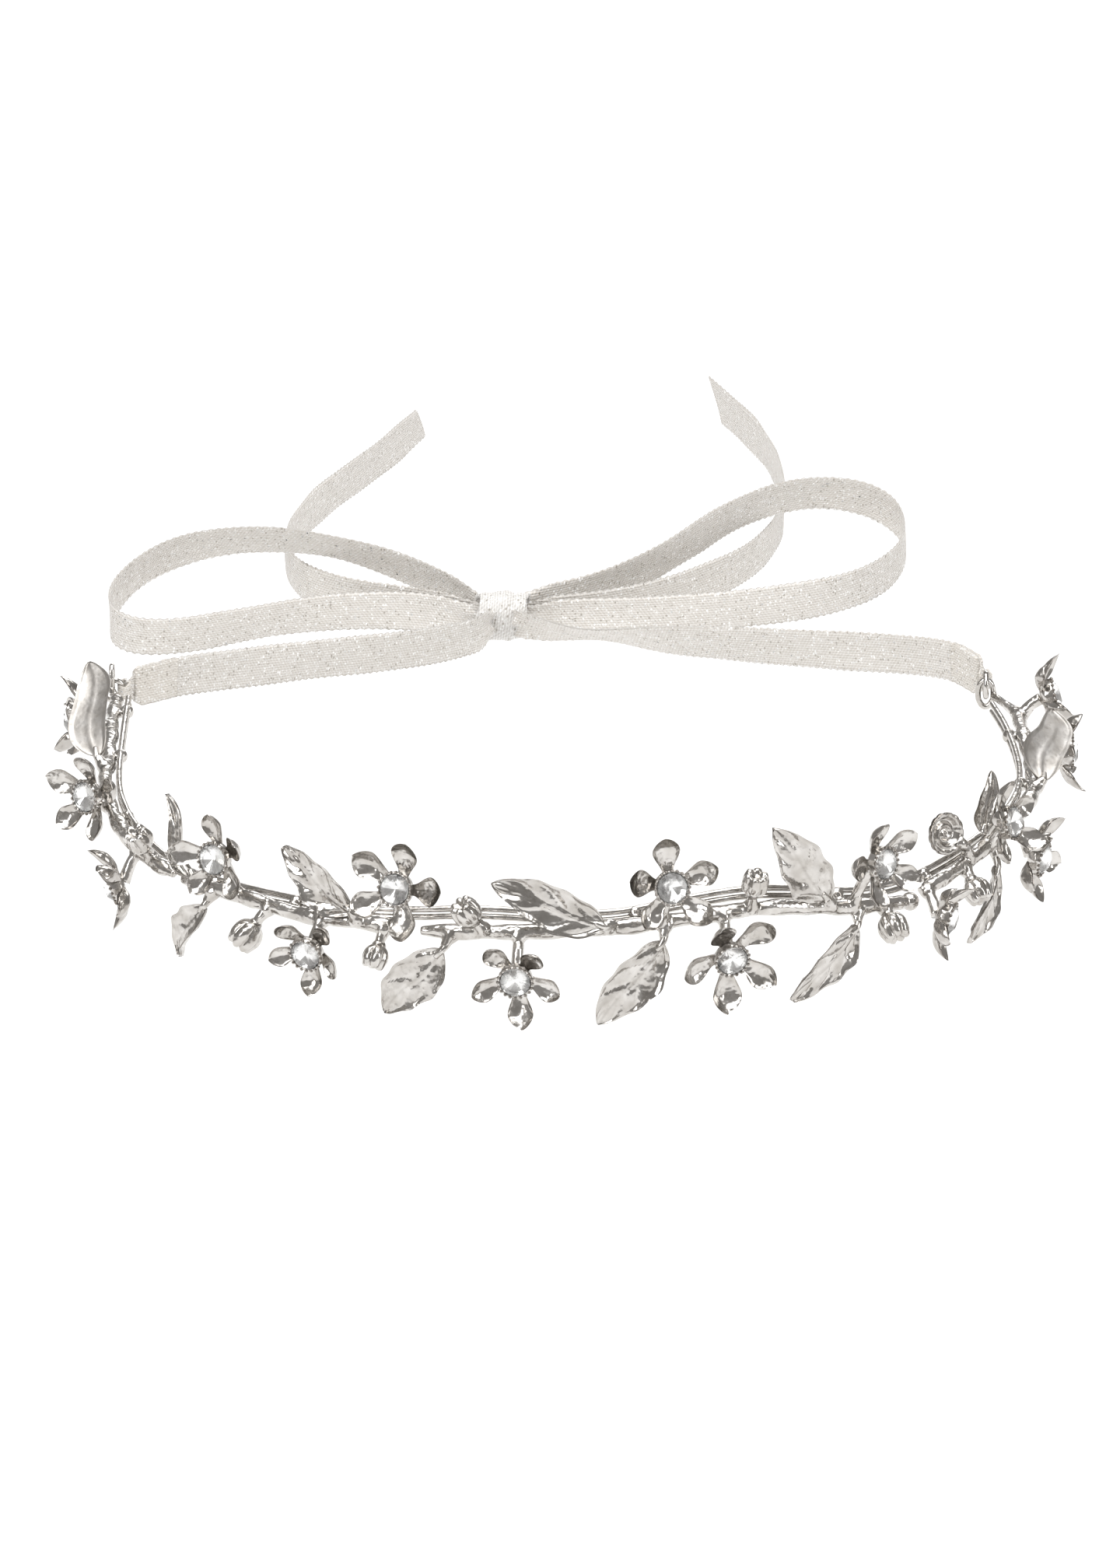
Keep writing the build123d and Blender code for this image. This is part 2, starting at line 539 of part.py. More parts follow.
def ribbon(name, route, *beside):
    """A strip on its edge along straight runs joined by tangent arcs, cut back to the pieces beside it."""
    points = [at(*p) for p in route]
    radii = corner_radii(points)
    with BuildPart() as strip:
        with BuildLine() as route_line:
            FilletPolyline(*points, radius=radii)
        path = route_line.wire()
        start_way = points[1] - points[0]
        level = Vector(start_way.X, start_way.Y, 0)
        with BuildSketch(Plane(origin=points[0], x_dir=level.cross(Vector(0, 0, 1)), z_dir=level)):
            Rectangle(RIBBON_THICKNESS, RIBBON_WIDTH)
        sweep(path=path)
        for solid in beside:
            add(solid, mode=Mode.SUBTRACT)
    save(strip, name)
    expected = RIBBON_THICKNESS * RIBBON_WIDTH * path.length
    print(f"   length {path.length:.1f}, volume over section times length "
          f"{strip.part.volume / expected:.3f}, radii {[round(r, 1) for r in radii]}")
    return path.length


lengths = {
    "left": [
        ribbon("left_ribbon_band", LEFT_BAND, knot.part, left_hem),
        ribbon("left_bow_loop", LEFT_LOOP, knot.part),
        ribbon("left_ribbon_tail", LEFT_TAIL, knot.part),
    ],
    "right": [
        ribbon("right_ribbon_band", RIGHT_BAND, knot.part, right_hem),
        ribbon("right_bow_loop", RIGHT_LOOP, knot.part),
        ribbon("right_ribbon_tail", RIGHT_TAIL, knot.part),
    ],
}
print({side: round(sum(parts), 1) for side, parts in lengths.items()})
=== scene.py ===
"""Looks of the vine flower crown: cast silver vine, crystal flowers and a glitter ribbon bow.

Shapes are laid out in millimetres in the crown's own frame, and make_piece turns them into metres.
Places given round the ring are (angle from the front, distance outside the stem line, height over its mean).
"""

from math import cos, pi, radians, sin

import bpy
import numpy as np
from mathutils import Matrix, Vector


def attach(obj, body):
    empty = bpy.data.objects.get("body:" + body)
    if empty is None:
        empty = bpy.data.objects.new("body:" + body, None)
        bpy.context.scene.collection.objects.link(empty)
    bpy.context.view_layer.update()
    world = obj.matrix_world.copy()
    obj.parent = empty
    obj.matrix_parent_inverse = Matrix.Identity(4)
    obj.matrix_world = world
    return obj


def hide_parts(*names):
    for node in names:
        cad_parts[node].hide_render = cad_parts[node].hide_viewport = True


MM = 0.001

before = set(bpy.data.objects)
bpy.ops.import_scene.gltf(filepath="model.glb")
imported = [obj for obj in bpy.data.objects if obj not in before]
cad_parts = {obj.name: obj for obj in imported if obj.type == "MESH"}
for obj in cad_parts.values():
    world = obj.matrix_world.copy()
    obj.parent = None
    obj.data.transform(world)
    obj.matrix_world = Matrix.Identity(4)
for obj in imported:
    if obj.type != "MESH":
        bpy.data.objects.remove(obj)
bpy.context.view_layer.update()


# --- the ring that the vine follows, as in the CAD ---
RING_RADIUS = 73.0
RING_BACK = 18.25
RING_ASIDE = 0.6
BASE_HEIGHT = 13.15
SIDE_LENGTH = 41.0
LEFT_LEAN = 0.5
RIGHT_LEAN = 5.0
STEM_RADIUS = 1.05
WIRE_INSET = 2.0


# --- the cast end loops and the jump rings that hang in them, as in the CAD ---
LOOP_WIRE = 0.5
LOOP_HALF_WIDTH = 1.25
LOOP_HALF_HEIGHT = 2.3
LEFT_LOOP_X = -73.5
RIGHT_LOOP_X = 67.0
TIE_Y = 42.0                 # both rings swing about this line
TIE_Z = 14.6
JUMP_RADIUS = 1.95
LOOP_TO_JUMP = 0.95          # from the right loop's wire to the centre of the jump ring that hangs on it


def vec(x, y, z):
    return np.array((x, y, z), float)


def at(x, y, z):
    """A point given from the centre of the ring's front arc, in the crown's frame."""
    return vec(x + RING_ASIDE, y + RING_BACK, z)


def unit(v):
    return v / np.linalg.norm(v)


def ring_axes(angle):
    """Outward and forward-running unit vectors of the ring at an angle from its front."""
    side = 1 if angle > 0 else -1
    if abs(angle) <= 90:
        swept = radians(angle)
        return vec(sin(swept), -cos(swept), 0), vec(cos(swept), sin(swept), 0)
    return vec(side, 0, 0), vec(0, side, 0)


def on_ring(angle, out=0.0, up=0.0):
    """The point at an angle round the ring, so far outside the stem line, so far over its mean height."""
    side = 1 if angle > 0 else -1
    if abs(angle) <= 90:
        reach = ring_axes(angle)[0] * (RING_RADIUS + out)
        return at(reach[0], reach[1], BASE_HEIGHT + up)
    back = radians(abs(angle) - 90) * RING_RADIUS
    lean = (RIGHT_LEAN if side > 0 else LEFT_LEAN) * (back / SIDE_LENGTH) ** 2
    return at(side * (RING_RADIUS - lean + out), back, BASE_HEIGHT + up)


# --- mesh helpers ---
def loft(sections, capped=True):
    """Closed rings of points, one after another, joined into a skin: (points, faces)."""
    sections = np.asarray(sections, float)
    count, around = sections.shape[:2]
    i, j = np.meshgrid(np.arange(count - 1), np.arange(around), indexing="ij")
    k = (j + 1) % around
    quads = np.stack([i * around + j, i * around + k, (i + 1) * around + k, (i + 1) * around + j], -1)
    faces = [tuple(q) for q in quads.reshape(-1, 4).tolist()]
    if capped:
        faces.append(tuple(range(around))[::-1])
        faces.append(tuple(range((count - 1) * around, count * around)))
    return sections.reshape(-1, 3), faces


def merge(shapes):
    """Several (points, faces) as one."""
    points, faces, start = [], [], 0
    for some_points, some_faces in shapes:
        points.append(some_points)
        faces += [tuple(n + start for n in face) for face in some_faces]
        start += len(some_points)
    return np.concatenate(points), faces


def placed(shape, origin, x_way, y_way, z_way):
    """A shape made round the origin, put in place with its own three axes."""
    points, faces = shape
    return origin + points @ np.stack([x_way, y_way, z_way]), faces


def smooth_line(points, per_span=10):
    """Points along a smooth curve through the given ones."""
    p = [np.asarray(q, float) for q in points]
    p = [2 * p[0] - p[1]] + p + [2 * p[-1] - p[-2]]
    line = []
    for a, b, c, d in zip(p, p[1:], p[2:], p[3:]):
        for part in range(per_span):
            t = part / per_span
            line.append(0.5 * (2 * b + (c - a) * t + (2 * a - 5 * b + 4 * c - d) * t**2
                               + (3 * b - a - 3 * c + d) * t**3))
    return np.array(line + [p[-2]])


def tangents(line, closed=False):
    if closed:
        ways = np.roll(line, -1, 0) - np.roll(line, 1, 0)
    else:
        ways = np.gradient(line, axis=0)
    return ways / np.linalg.norm(ways, axis=1, keepdims=True)


def tube(line, radii, sides=12, closed=False):
    """A round skin along a line, with a radius at each point."""
    line = np.asarray(line, float)
    radii = np.broadcast_to(np.asarray(radii, float), (len(line),))
    ways = tangents(line, closed)
    normal = unit(np.cross(ways[0], (0.31, 0.22, 0.93)))
    spin = np.linspace(0, 2 * pi, sides, endpoint=False)
    sections = []
    for point, way, radius in zip(line, ways, radii):
        normal = unit(normal - way * normal.dot(way))
        other = np.cross(way, normal)
        sections.append(point + radius * (np.outer(np.cos(spin), normal) + np.outer(np.sin(spin), other)))
    if closed:
        sections.append(sections[0])
    return loft(sections, capped=not closed)


def ball(centre, radius, rings=8, sides=12, stretch=(1, 1, 1)):
    theta = np.linspace(0.08, pi - 0.08, rings)
    spin = np.linspace(0, 2 * pi, sides, endpoint=False)
    sections = [
        np.stack([sin(a) * np.cos(spin), sin(a) * np.sin(spin), np.full(sides, cos(a))], -1) for a in theta
    ]
    points, faces = loft(sections)
    return centre + radius * points * np.array(stretch), faces


def turned(profile, sides):
    """A profile of (radius, height) points turned round the z axis."""
    spin = np.linspace(0, 2 * pi, sides, endpoint=False)
    return loft([np.stack([r * np.cos(spin), r * np.sin(spin), np.full(sides, z)], -1) for r, z in profile])


def step(x, low, high):
    """0 below low, 1 above high, smooth between."""
    t = np.clip((x - low) / (high - low), 0, 1)
    return t * t * (3 - 2 * t)


def both_faces(front, back):
    """One cross section of something flat: along its front, then back along its other face."""
    return np.concatenate([front, back[::-1]])


def make_mesh(name, shape):
    points, faces = shape
    mesh = bpy.data.meshes.new(name)
    mesh.from_pydata(points.tolist(), [], faces)
    mesh.validate()
    mesh.update()
    return mesh


def add_object(name, data):
    thing = bpy.data.objects.new(name, data)
    bpy.context.scene.collection.objects.link(thing)
    return thing


def make_piece(name, shape, material, body, replaced=(), smooth=True):
    """A Blender object from a shape in millimetres, which rides on a CAD body."""
    points, faces = shape
    mesh = make_mesh(name, (points * MM, faces))
    piece = add_object(name, mesh)
    mesh.materials.append(material)
    mesh.polygons.foreach_set("use_smooth", [smooth] * len(mesh.polygons))
    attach(piece, body)
    if replaced:
        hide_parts(*replaced)
    return piece


def melted(shape, voxel, rounds):
    """The union of closed shapes with its creases filled, as solder and casting leave them."""
    body = add_object("melting", make_mesh("melting", shape))
    remesh = body.modifiers.new("union", "REMESH")
    remesh.mode = "VOXEL"
    remesh.voxel_size = voxel
    relax = body.modifiers.new("relax", "SMOOTH")
    relax.factor = 0.5
    relax.iterations = rounds
    depsgraph = bpy.context.evaluated_depsgraph_get()
    result = bpy.data.meshes.new_from_object(body.evaluated_get(depsgraph))
    points = np.array([v.co[:] for v in result.vertices])
    faces = [tuple(p.vertices) for p in result.polygons]
    bpy.data.objects.remove(body)
    bpy.data.meshes.remove(result)
    return points, faces


# --- materials ---
class Nodes:
    """Short names for building a material's nodes."""

    def __init__(self, name):
        self.material = bpy.data.materials.new(name)
        self.material.use_nodes = True
        self.tree = self.material.node_tree
        self.shader = self.tree.nodes["Principled BSDF"]

    def new(self, kind, **settings):
        node = self.tree.nodes.new("ShaderNode" + kind)
        for key, value in settings.items():
            setattr(node, key, value)
        return node

    def link(self, out, into):
        self.tree.links.new(out, into)

    def feed(self, name, value):
        """Links an output to an input of the shader, or sets that input to a constant."""
        socket = self.shader.inputs[name]
        if isinstance(value, bpy.types.NodeSocket):
            self.link(value, socket)
        else:
            socket.default_value = value

    def math(self, operation, a, b=0.0):
        node = self.new("Math", operation=operation)
        for socket, value in zip(node.inputs, (a, b)):
            if isinstance(value, (int, float)):
                socket.default_value = value
            else:
                self.link(value, socket)
        return node.outputs[0]

    def noise(self, where, scale, detail=3.0, roughness=0.5):
        node = self.new("TexNoise")
        node.inputs["Scale"].default_value = scale
        node.inputs["Detail"].default_value = detail
        node.inputs["Roughness"].default_value = roughness
        self.link(where, node.inputs["Vector"])
        return node.outputs["Fac"]

    def remap(self, value, low, high, to_low, to_high):
        node = self.new("MapRange")
        for key, number in zip(("From Min", "From Max", "To Min", "To Max"), (low, high, to_low, to_high)):
            node.inputs[key].default_value = number
        self.link(value, node.inputs["Value"])
        return node.outputs["Result"]

    def mix(self, factor, a, b):
        node = self.new("Mix", data_type="RGBA")
        self.link(factor, node.inputs["Factor"])
        for socket, value in zip((node.inputs[6], node.inputs[7]), (a, b)):
            if isinstance(value, tuple):
                socket.default_value = (*value, 1)
            else:
                self.link(value, socket)
        return node.outputs[2]

    def bump(self, height, strength, distance, normal=None):
        node = self.new("Bump")
        node.inputs["Strength"].default_value = strength
        node.inputs["Distance"].default_value = distance
        self.link(height, node.inputs["Height"])
        if normal is not None:
            self.link(normal, node.inputs["Normal"])
        return node.outputs["Normal"]


SILVER_DULL = (0.47, 0.448, 0.42)
SILVER_CLEAN = (0.62, 0.602, 0.58)
SILVER_TARNISH = (0.31, 0.288, 0.262)
# painted shade colour for the casting's hollows and creases
SILVER_PAINTED_SHADE = (0.21, 0.19, 0.17)
GLASS_IOR = 1.42
ROW_PITCH = 0.42             # distance between the ribbon's lengthwise rows of thread
STITCH_LENGTH = 0.62         # length of one stitch of those rows
FLAKES_PER_MM = 2.1
FLAKE_TILT = 0.75            # how far a lit flake's normal is turned aside
# painted shade colour of the flakes that are drawn dark
FLAKE_SHADOW = (0.36, 0.33, 0.29)


def silver(name, rough_low, rough_high, ripple):
    """Silver plate over a casting: mirror-like, a little warm, rippled, with painted shade where it is
    hollow.
    """
    n = Nodes(name)
    where = n.new("TexCoord").outputs["Object"]
    broad = n.noise(where, 380, 2)
    fine = n.noise(where, 2400, 3, 0.6)
    tarnish = n.noise(where, 900, 4, 0.65)
    # painted shade: where the pointiness is low, in hollows and creases, the plate is mixed towards a dark
    # colour
    hollow = n.remap(n.new("NewGeometry").outputs["Pointiness"], 0.40, 0.51, 0, 1)
    plate = n.mix(n.remap(broad, 0.35, 0.65, 0, 1), SILVER_DULL, SILVER_CLEAN)
    aged = n.mix(n.remap(tarnish, 0.56, 0.70, 0, 0.55), plate, SILVER_TARNISH)
    n.feed("Base Color", n.mix(hollow, SILVER_PAINTED_SHADE, aged))
    n.feed("Roughness", n.remap(tarnish, 0.3, 0.7, rough_low, rough_high))
    n.feed("Metallic", 1.0)
    swell = n.bump(broad, ripple, 0.0009)
    n.feed("Normal", n.bump(fine, 0.22, 0.00006, swell))
    return n.material


def crystal_material():
    """Clear cut glass; only its crown shows, and the foil behind it lights it."""
    n = Nodes("crystal_glass")
    where = n.new("TexCoord").outputs["Object"]
    haze = n.noise(where, 900, 2)
    n.feed("Base Color", n.mix(haze, (0.97, 0.97, 0.97), (1.0, 1.0, 1.0)))
    n.feed("Roughness", n.remap(haze, 0.3, 0.7, 0.0, 0.03))
    n.feed("Transmission Weight", 1.0)
    n.feed("IOR", GLASS_IOR)
    return n.material


def foil_material():
    """The mirror foil on the back facets of a stone."""
    n = Nodes("crystal_foil")
    where = n.new("TexCoord").outputs["Object"]
    tint = n.noise(where, 500, 1)
    n.feed("Base Color", n.mix(tint, (0.80, 0.80, 0.80), (0.98, 0.98, 0.97)))
    n.feed("Roughness", n.remap(tint, 0.3, 0.7, 0.12, 0.30))
    n.feed("Metallic", 1.0)
    return n.material


def ribbon_material(name, light, dark, glitter):
    """Woven ribbon with lengthwise rows of thread, painted shade in their low parts, and scattered flakes:
    some painted white as glints, others painted dark as shade and made partly metallic.

    The weave attribute holds the place on the ribbon: along and across it, in millimetres.
    """
    n = Nodes(name)
    weave = n.new("Attribute", attribute_name="weave").outputs["Vector"]
    split = n.new("SeparateXYZ")
    n.link(weave, split.inputs[0])
    along, across = split.outputs[0], split.outputs[1]

    row_wave = n.math("SINE", n.math("MULTIPLY", across, 2 * pi / ROW_PITCH))
    lengthwise = n.math("MULTIPLY", along, 2 * pi / STITCH_LENGTH)
    slant = n.math("ADD", lengthwise, n.math("MULTIPLY", across, 7.4))
    stitch_wave = n.math("SINE", slant)
    relief = n.math("ADD", n.math("MULTIPLY", row_wave, 0.6), n.math("MULTIPLY", stitch_wave, 0.4))
    patchy = n.noise(weave, 0.55, 4, 0.6)
    grainy = n.noise(weave, 5.0, 2, 0.7)

    flakes = n.new("TexVoronoi", feature="F1")
    flakes.inputs["Scale"].default_value = FLAKES_PER_MM
    n.link(weave, flakes.inputs["Vector"])
    pick = n.new("SeparateColor")
    n.link(flakes.outputs["Color"], pick.inputs[0])
    near = n.remap(flakes.outputs["Distance"], 0.26, 0.46, 1.0, 0.0)
    # painted glints and painted shade: flakes picked as lit are painted white, flakes picked as shaded are
    # painted dark, whatever light falls on them
    lit = n.math("MULTIPLY", near, n.math("GREATER_THAN", pick.outputs[0], 1.0 - glitter))
    shaded = n.math("MULTIPLY", near, n.math("LESS_THAN", pick.outputs[0], 0.35 * glitter))
    painted_glint = n.math("MULTIPLY", lit, n.remap(pick.outputs[2], 0.0, 1.0, 0.45, 1.0))

    # painted shade: the low parts of the thread rows and stitches take the dark colour, their tops the light
    # one
    cloth = n.mix(n.remap(relief, -0.7, 0.8, 0.0, 1.0), dark, light)
    cloth = n.mix(n.remap(patchy, 0.35, 0.7, 0.0, 0.45), cloth, light)
    cloth = n.mix(n.remap(grainy, 0.55, 0.72, 0.0, 0.55), cloth, dark)
    # painted shade on the dark flakes
    cloth = n.mix(n.math("MULTIPLY", shaded, 0.75), cloth, FLAKE_SHADOW)
    # painted glints: the lit flakes are white in the base colour
    n.feed("Base Color", n.mix(painted_glint, cloth, (1.0, 1.0, 0.99)))
    n.feed("Metallic", n.math("MULTIPLY", shaded, 0.6))
    n.feed("Roughness", n.remap(painted_glint, 0, 1, 0.60, 0.22))
    n.feed("Sheen Weight", 0.2)
    n.feed("Sheen Roughness", 0.4)

    threads = n.bump(n.math("ADD", relief, n.math("MULTIPLY", grainy, 1.2)), 0.55, 0.00012)
    tilt = n.new("VectorMath", operation="MULTIPLY_ADD")
    n.link(flakes.outputs["Color"], tilt.inputs[0])
    tilt.inputs[1].default_value = (2 * FLAKE_TILT,) * 3
    tilt.inputs[2].default_value = (-FLAKE_TILT,) * 3
    tilted = n.new("VectorMath", operation="SCALE")
    n.link(tilt.outputs[0], tilted.inputs[0])
    n.link(painted_glint, tilted.inputs["Scale"])
    facing = n.new("VectorMath", operation="ADD")
    n.link(threads, facing.inputs[0])
    n.link(tilted.outputs[0], facing.inputs[1])
    final = n.new("VectorMath", operation="NORMALIZE")
    n.link(facing.outputs[0], final.inputs[0])
    n.feed("Normal", final.outputs[0])
    return n.material


CAST = silver("cast_silver", 0.10, 0.27, 0.56)
SMOOTH = silver("smooth_silver", 0.34, 0.50, 0.16)
BRIGHT = silver("bright_silver", 0.05, 0.14, 0.12)
WIRE = silver("wire_silver", 0.08, 0.20, 0.15)
GLASS = crystal_material()
FOIL = foil_material()
IVORY = ribbon_material("ivory_ribbon", (0.76, 0.74, 0.712), (0.54, 0.503, 0.455), 0.40)
# painted light: the knot uses a lighter copy of the same ribbon with denser painted glints
SPARKLING = ribbon_material("knot_ribbon", (0.79, 0.78, 0.76), (0.54, 0.52, 0.495), 0.52)
HEMMED = ribbon_material("hemmed_ribbon", (0.75, 0.722, 0.68), (0.53, 0.492, 0.44), 0.34)


# --- stems ---
WIRE_LINE = [
    (-118, 0.0), (-110, 0.1), (-101, -0.1), (-92, -0.2), (-83, -0.1), (-74, -0.6), (-65, -1.3),
    (-56, -1.6), (-47, -0.4), (-38, 0.4), (-29, 1.0), (-20, 2.2), (-11, 3.7), (-2, 3.3), (6, 3.2),
    (14, 4.9), (22, 5.5), (30, 3.8), (38, 1.2), (46, 0.4), (55, 1.0), (64, 1.4), (73, 1.2), (82, 0.8),
    (91, 0.4), (100, 0.1), (109, 0.0), (116, -0.2),
]
STEMS = {
    "left_side_stem": (
        [(-119.5, 0, -0.6), (-112, 0.2, -0.3), (-104, 0, 0.2), (-96, -0.1, -0.3), (-88, 0.1, 0.1),
         (-80, 0, 0.2), (-72, 0.1, -0.6), (-64, 0, -1.1), (-56.5, 0.1, -1.3)],
        [-114, -98, -76, -60],
    ),
    "left_front_stem": (
        [(-54.5, 0, -1.3), (-48, 0.1, -0.4), (-41, 0, 0.0), (-34, 0.1, -0.2), (-27, 0, 0.4),
         (-20, 0.1, 0.8)],
        [-50, -36, -28],
    ),
    "centre_stem": (
        [(-18, 0, 0.5), (-10, 0.1, 1.2), (-2, 0, 1.8), (6, 0.1, 2.3), (13, 0, 2.9), (20, 0.1, 3.4),
         (27, 0, 2.7), (34, 0.1, 0.9), (40, 0, -0.5), (45.5, 0.1, -1.6)],
        [1, 8, 35],
    ),
    "right_side_stem": (
        [(47.5, 0, -0.6), (54, 0.1, 0.2), (61, 0, 1.2), (68, 0.1, 1.6), (76, 0, 1.2), (84, 0.1, 0.6),
         (92, 0, 0.2), (100, 0.1, -0.2), (108, 0.6, 0.0), (115, 1.6, -0.6)],
        [50, 66, 86, 105],
    ),
}
# name: stem, angle of the stalk's root, centre, turned, tilted up, roll, size of the petals
FLOWERS = {
    "flower_01": ("left_side_stem", -108, (-109.5, 5.2, 1.0), 0, 0, 20, 0.85),
    "flower_02": ("left_side_stem", -79, (-78.5, 3.2, 2.5), 35, 5, 0, 0.95),
    "flower_03": ("left_side_stem", -66, (-65.5, 3.6, -6.0), -15, -20, 36, 0.88),
    "flower_04": ("left_front_stem", -44, (-44.2, 4.0, 7.0), 10, 5, 10, 0.9),
    "flower_05": ("left_front_stem", -31, (-30.7, 4.5, -3.8), 5, -12, 36, 0.8),
    "flower_06": ("left_front_stem", -21, (-19.5, 4.5, 8.6), -5, 15, -16, 1.05),
    "flower_07": ("centre_stem", -6, (-6, 4.5, -4.2), 0, -10, 40, 0.9),
    "flower_08": ("centre_stem", 11, (11.3, 4.5, 10.0), 0, 14, 4, 0.98),
    "flower_09": ("centre_stem", 18.5, (18.2, 4.5, -2.0), 0, -12, 27, 1.08),
    "flower_10": ("centre_stem", 36, (37.3, 4.5, 8.6), 10, 5, 12, 0.95),
    "flower_11": ("right_side_stem", 48.5, (47.3, 4.5, -3.6), 28, -14, 25, 0.78),
    "flower_12": ("right_side_stem", 62.3, (61.6, 3.4, 5.8), 0, 12, 0, 0.85),
    "flower_13": ("right_side_stem", 71.3, (69.6, 4.0, -3.4), 0, -10, 36, 0.88),
    "flower_14": ("right_side_stem", 98, (97.5, 5.2, 1.0), 0, 0, 10, 0.85),
    "flower_15": ("right_side_stem", 113, (113, 5.6, 3.0), 0, 15, 30, 0.85),
}
# name: stem, angle of the stalk's root, blade foot and tip, width, roll, and how it is cast
LEAVES = {
    "leaf_01": ("left_side_stem", -93, (-94, 1.6, 1.8), (-105, 3.6, 13.0), 7.5, -68, "sheet"),
    "leaf_02": ("left_front_stem", -52, (-51.2, 1.2, 0.4), (-57.6, 1.0, 11.6), 3.6, -10, "narrow"),
    "leaf_03": ("left_front_stem", -48, (-48.5, 2.0, -3.0), (-53.4, 3.0, -12.6), 7.0, -20, "curled"),
    "leaf_04": ("left_front_stem", -26, (-26.5, 1.0, 2.2), (-36, 2.0, 10.5), 7.0, 0, "veined"),
    "leaf_05": ("centre_stem", -14, (-15, 2.0, -1.6), (-22.2, 2.5, -12.8), 7.5, 0, "veined"),
    "leaf_06": ("centre_stem", 5, (4.0, 2.0, 3.2), (-9, 2.5, 9.8), 7.0, -10, "veined"),
    "leaf_07": ("centre_stem", 11.5, (10.8, 2.0, 0.2), (3.3, 2.5, -12.8), 7.5, 0, "veined"),
    "leaf_08": ("centre_stem", 33, (32.0, 1.0, 3.0), (24.8, 1.5, 15.8), 7.5, 10, "veined"),
    "leaf_09": ("centre_stem", 37, (35.8, 2.0, -2.0), (27.0, 3.0, -12.0), 6.5, 10, "veined"),
    "leaf_10": ("right_side_stem", 57, (56.5, 0.5, 3.2), (51.4, -2.2, 8.5), 7.0, 0, "round"),
    "leaf_11": ("right_side_stem", 63.4, (61.8, 2.1, -1.8), (55.5, 3.0, -11.8), 6.5, 10, "veined"),
    "leaf_12": ("right_side_stem", 64.8, (62.4, -0.8, 3.0), (64.4, -0.6, 12.4), 3.6, 60, "upright"),
    "leaf_13": ("right_side_stem", 84, (84.5, 1.6, 2.2), (96.5, 3.6, 9.0), 7.5, 70, "sheet"),
}
BUDS = {
    "bud_01": ("left_side_stem", -62, (-61.0, 3.0, 3.2), 1.0),
    "bud_02": ("left_front_stem", -38.6, (-40.6, 3.0, -4.7), 1.1),
    "bud_03": ("left_front_stem", -22.5, (-23.0, 2.5, -3.8), 0.9),
    "bud_04": ("centre_stem", -10, (-12.0, 2.0, 5.0), 1.0),
    "bud_05": ("centre_stem", 22, (22.0, 2.0, 8.2), 0.95),
    "bud_06": ("centre_stem", 41, (40.6, 3.0, -3.4), 1.05),
    "bud_07": ("right_side_stem", 56, (55.2, 3.4, -2.8), 0.95),
}
BUD_RADIUS = 2.35


def along_table(table, angle):
    """The values between the rows of a table whose first column is the angle."""
    rows = np.array(table, float)
    return [np.interp(angle, rows[:, 0], rows[:, k]) for k in range(1, rows.shape[1])]


def stem_point(name, angle):
    return on_ring(angle, *along_table(STEMS[name][0], angle))


def stalk_roots(stem_name):
    """Each stalk on a stem: its root angle and the point that it grows towards."""
    for table in (FLOWERS, LEAVES, BUDS):
        for spec in table.values():
            if spec[0] == stem_name:
                yield spec[1], on_ring(*spec[2])


def make_stem(name):
    """A cast stem with soldered pads, flared stalk roots and, on the side stems, the end loop."""
    line, pads = STEMS[name]
    middle = smooth_line([on_ring(*p) for p in line], 12)
    along = np.arange(len(middle))
    knots = 0.17 + 0.11 * np.sin(along * 0.37) + 0.09 * np.sin(along * 0.83 + 1.0)
    ends = 0.55 + 0.45 * step(np.minimum(along, along[::-1]), 0, 5)
    shapes = [tube(middle, (STEM_RADIUS + knots) * ends, 14)]
    for angle in pads:
        low = on_ring(angle, -WIRE_INSET, along_table(WIRE_LINE, angle)[0])
        top = stem_point(name, angle)
        shapes.append(tube([top, (top + low) / 2, low], [0.95, 0.75, 1.0], 10))
        shapes.append(ball(low, 1.15, stretch=(1, 1, 1.05)))
    for angle, towards in stalk_roots(name):
        root = stem_point(name, angle)
        way = unit(towards - root)
        shapes.append(tube([root, root + way * 1.3, root + way * 2.8], [1.35, 1.05, 0.66], 10))
        shapes.append(ball(root + way * 0.7, 1.3))
    if name == "centre_stem":
        shapes.append(ball(on_ring(*line[-1]), 1.5))
    if name.endswith("side_stem"):
        shapes += end_loop(name, on_ring(*line[0 if name.startswith("left") else -1]))
    return melted(merge(shapes), 0.2, 4)


def end_loop(name, stem_end):
    """The cast oval loop at a side stem's end and the neck that holds it."""
    left = name.startswith("left")
    across = vec(0, 1, 0) if left else vec(1, 0, 0)
    centre = at(LEFT_LOOP_X, TIE_Y, TIE_Z) if left else at(RIGHT_LOOP_X, TIE_Y, TIE_Z - LOOP_HALF_HEIGHT)
    foot = centre + (vec(0, -LOOP_HALF_WIDTH, -1.3) if left else vec(LOOP_HALF_WIDTH, 0, -0.4))
    spin = np.linspace(0, 2 * pi, 40, endpoint=False)
    level = LOOP_HALF_WIDTH * np.outer(np.cos(spin), across)
    oval = centre + level + LOOP_HALF_HEIGHT * np.outer(np.sin(spin), vec(0, 0, 1))
    neck = [stem_end, (stem_end + foot) / 2, foot]
    return [tube(oval, LOOP_WIRE, 12, closed=True), tube(neck, [1.0, 0.72, 0.6], 10), ball(stem_end, 1.2)]


for stem_name in STEMS:
    make_piece(stem_name + "_cast", make_stem(stem_name), CAST, "crown", [stem_name])


# --- flowers ---
def facing_axes(centre, turn, tilt):
    """Sideways, upward and facing unit vectors of a flower, turned along the ring and tilted upwards."""
    outward, along = ring_axes(centre[0])
    level = outward * cos(radians(turn)) + along * sin(radians(turn))
    face = level * cos(radians(tilt)) + vec(0, 0, 1) * sin(radians(tilt))
    sideways = unit(np.cross(vec(0, 0, 1), face))
    return sideways, np.cross(face, sideways), face


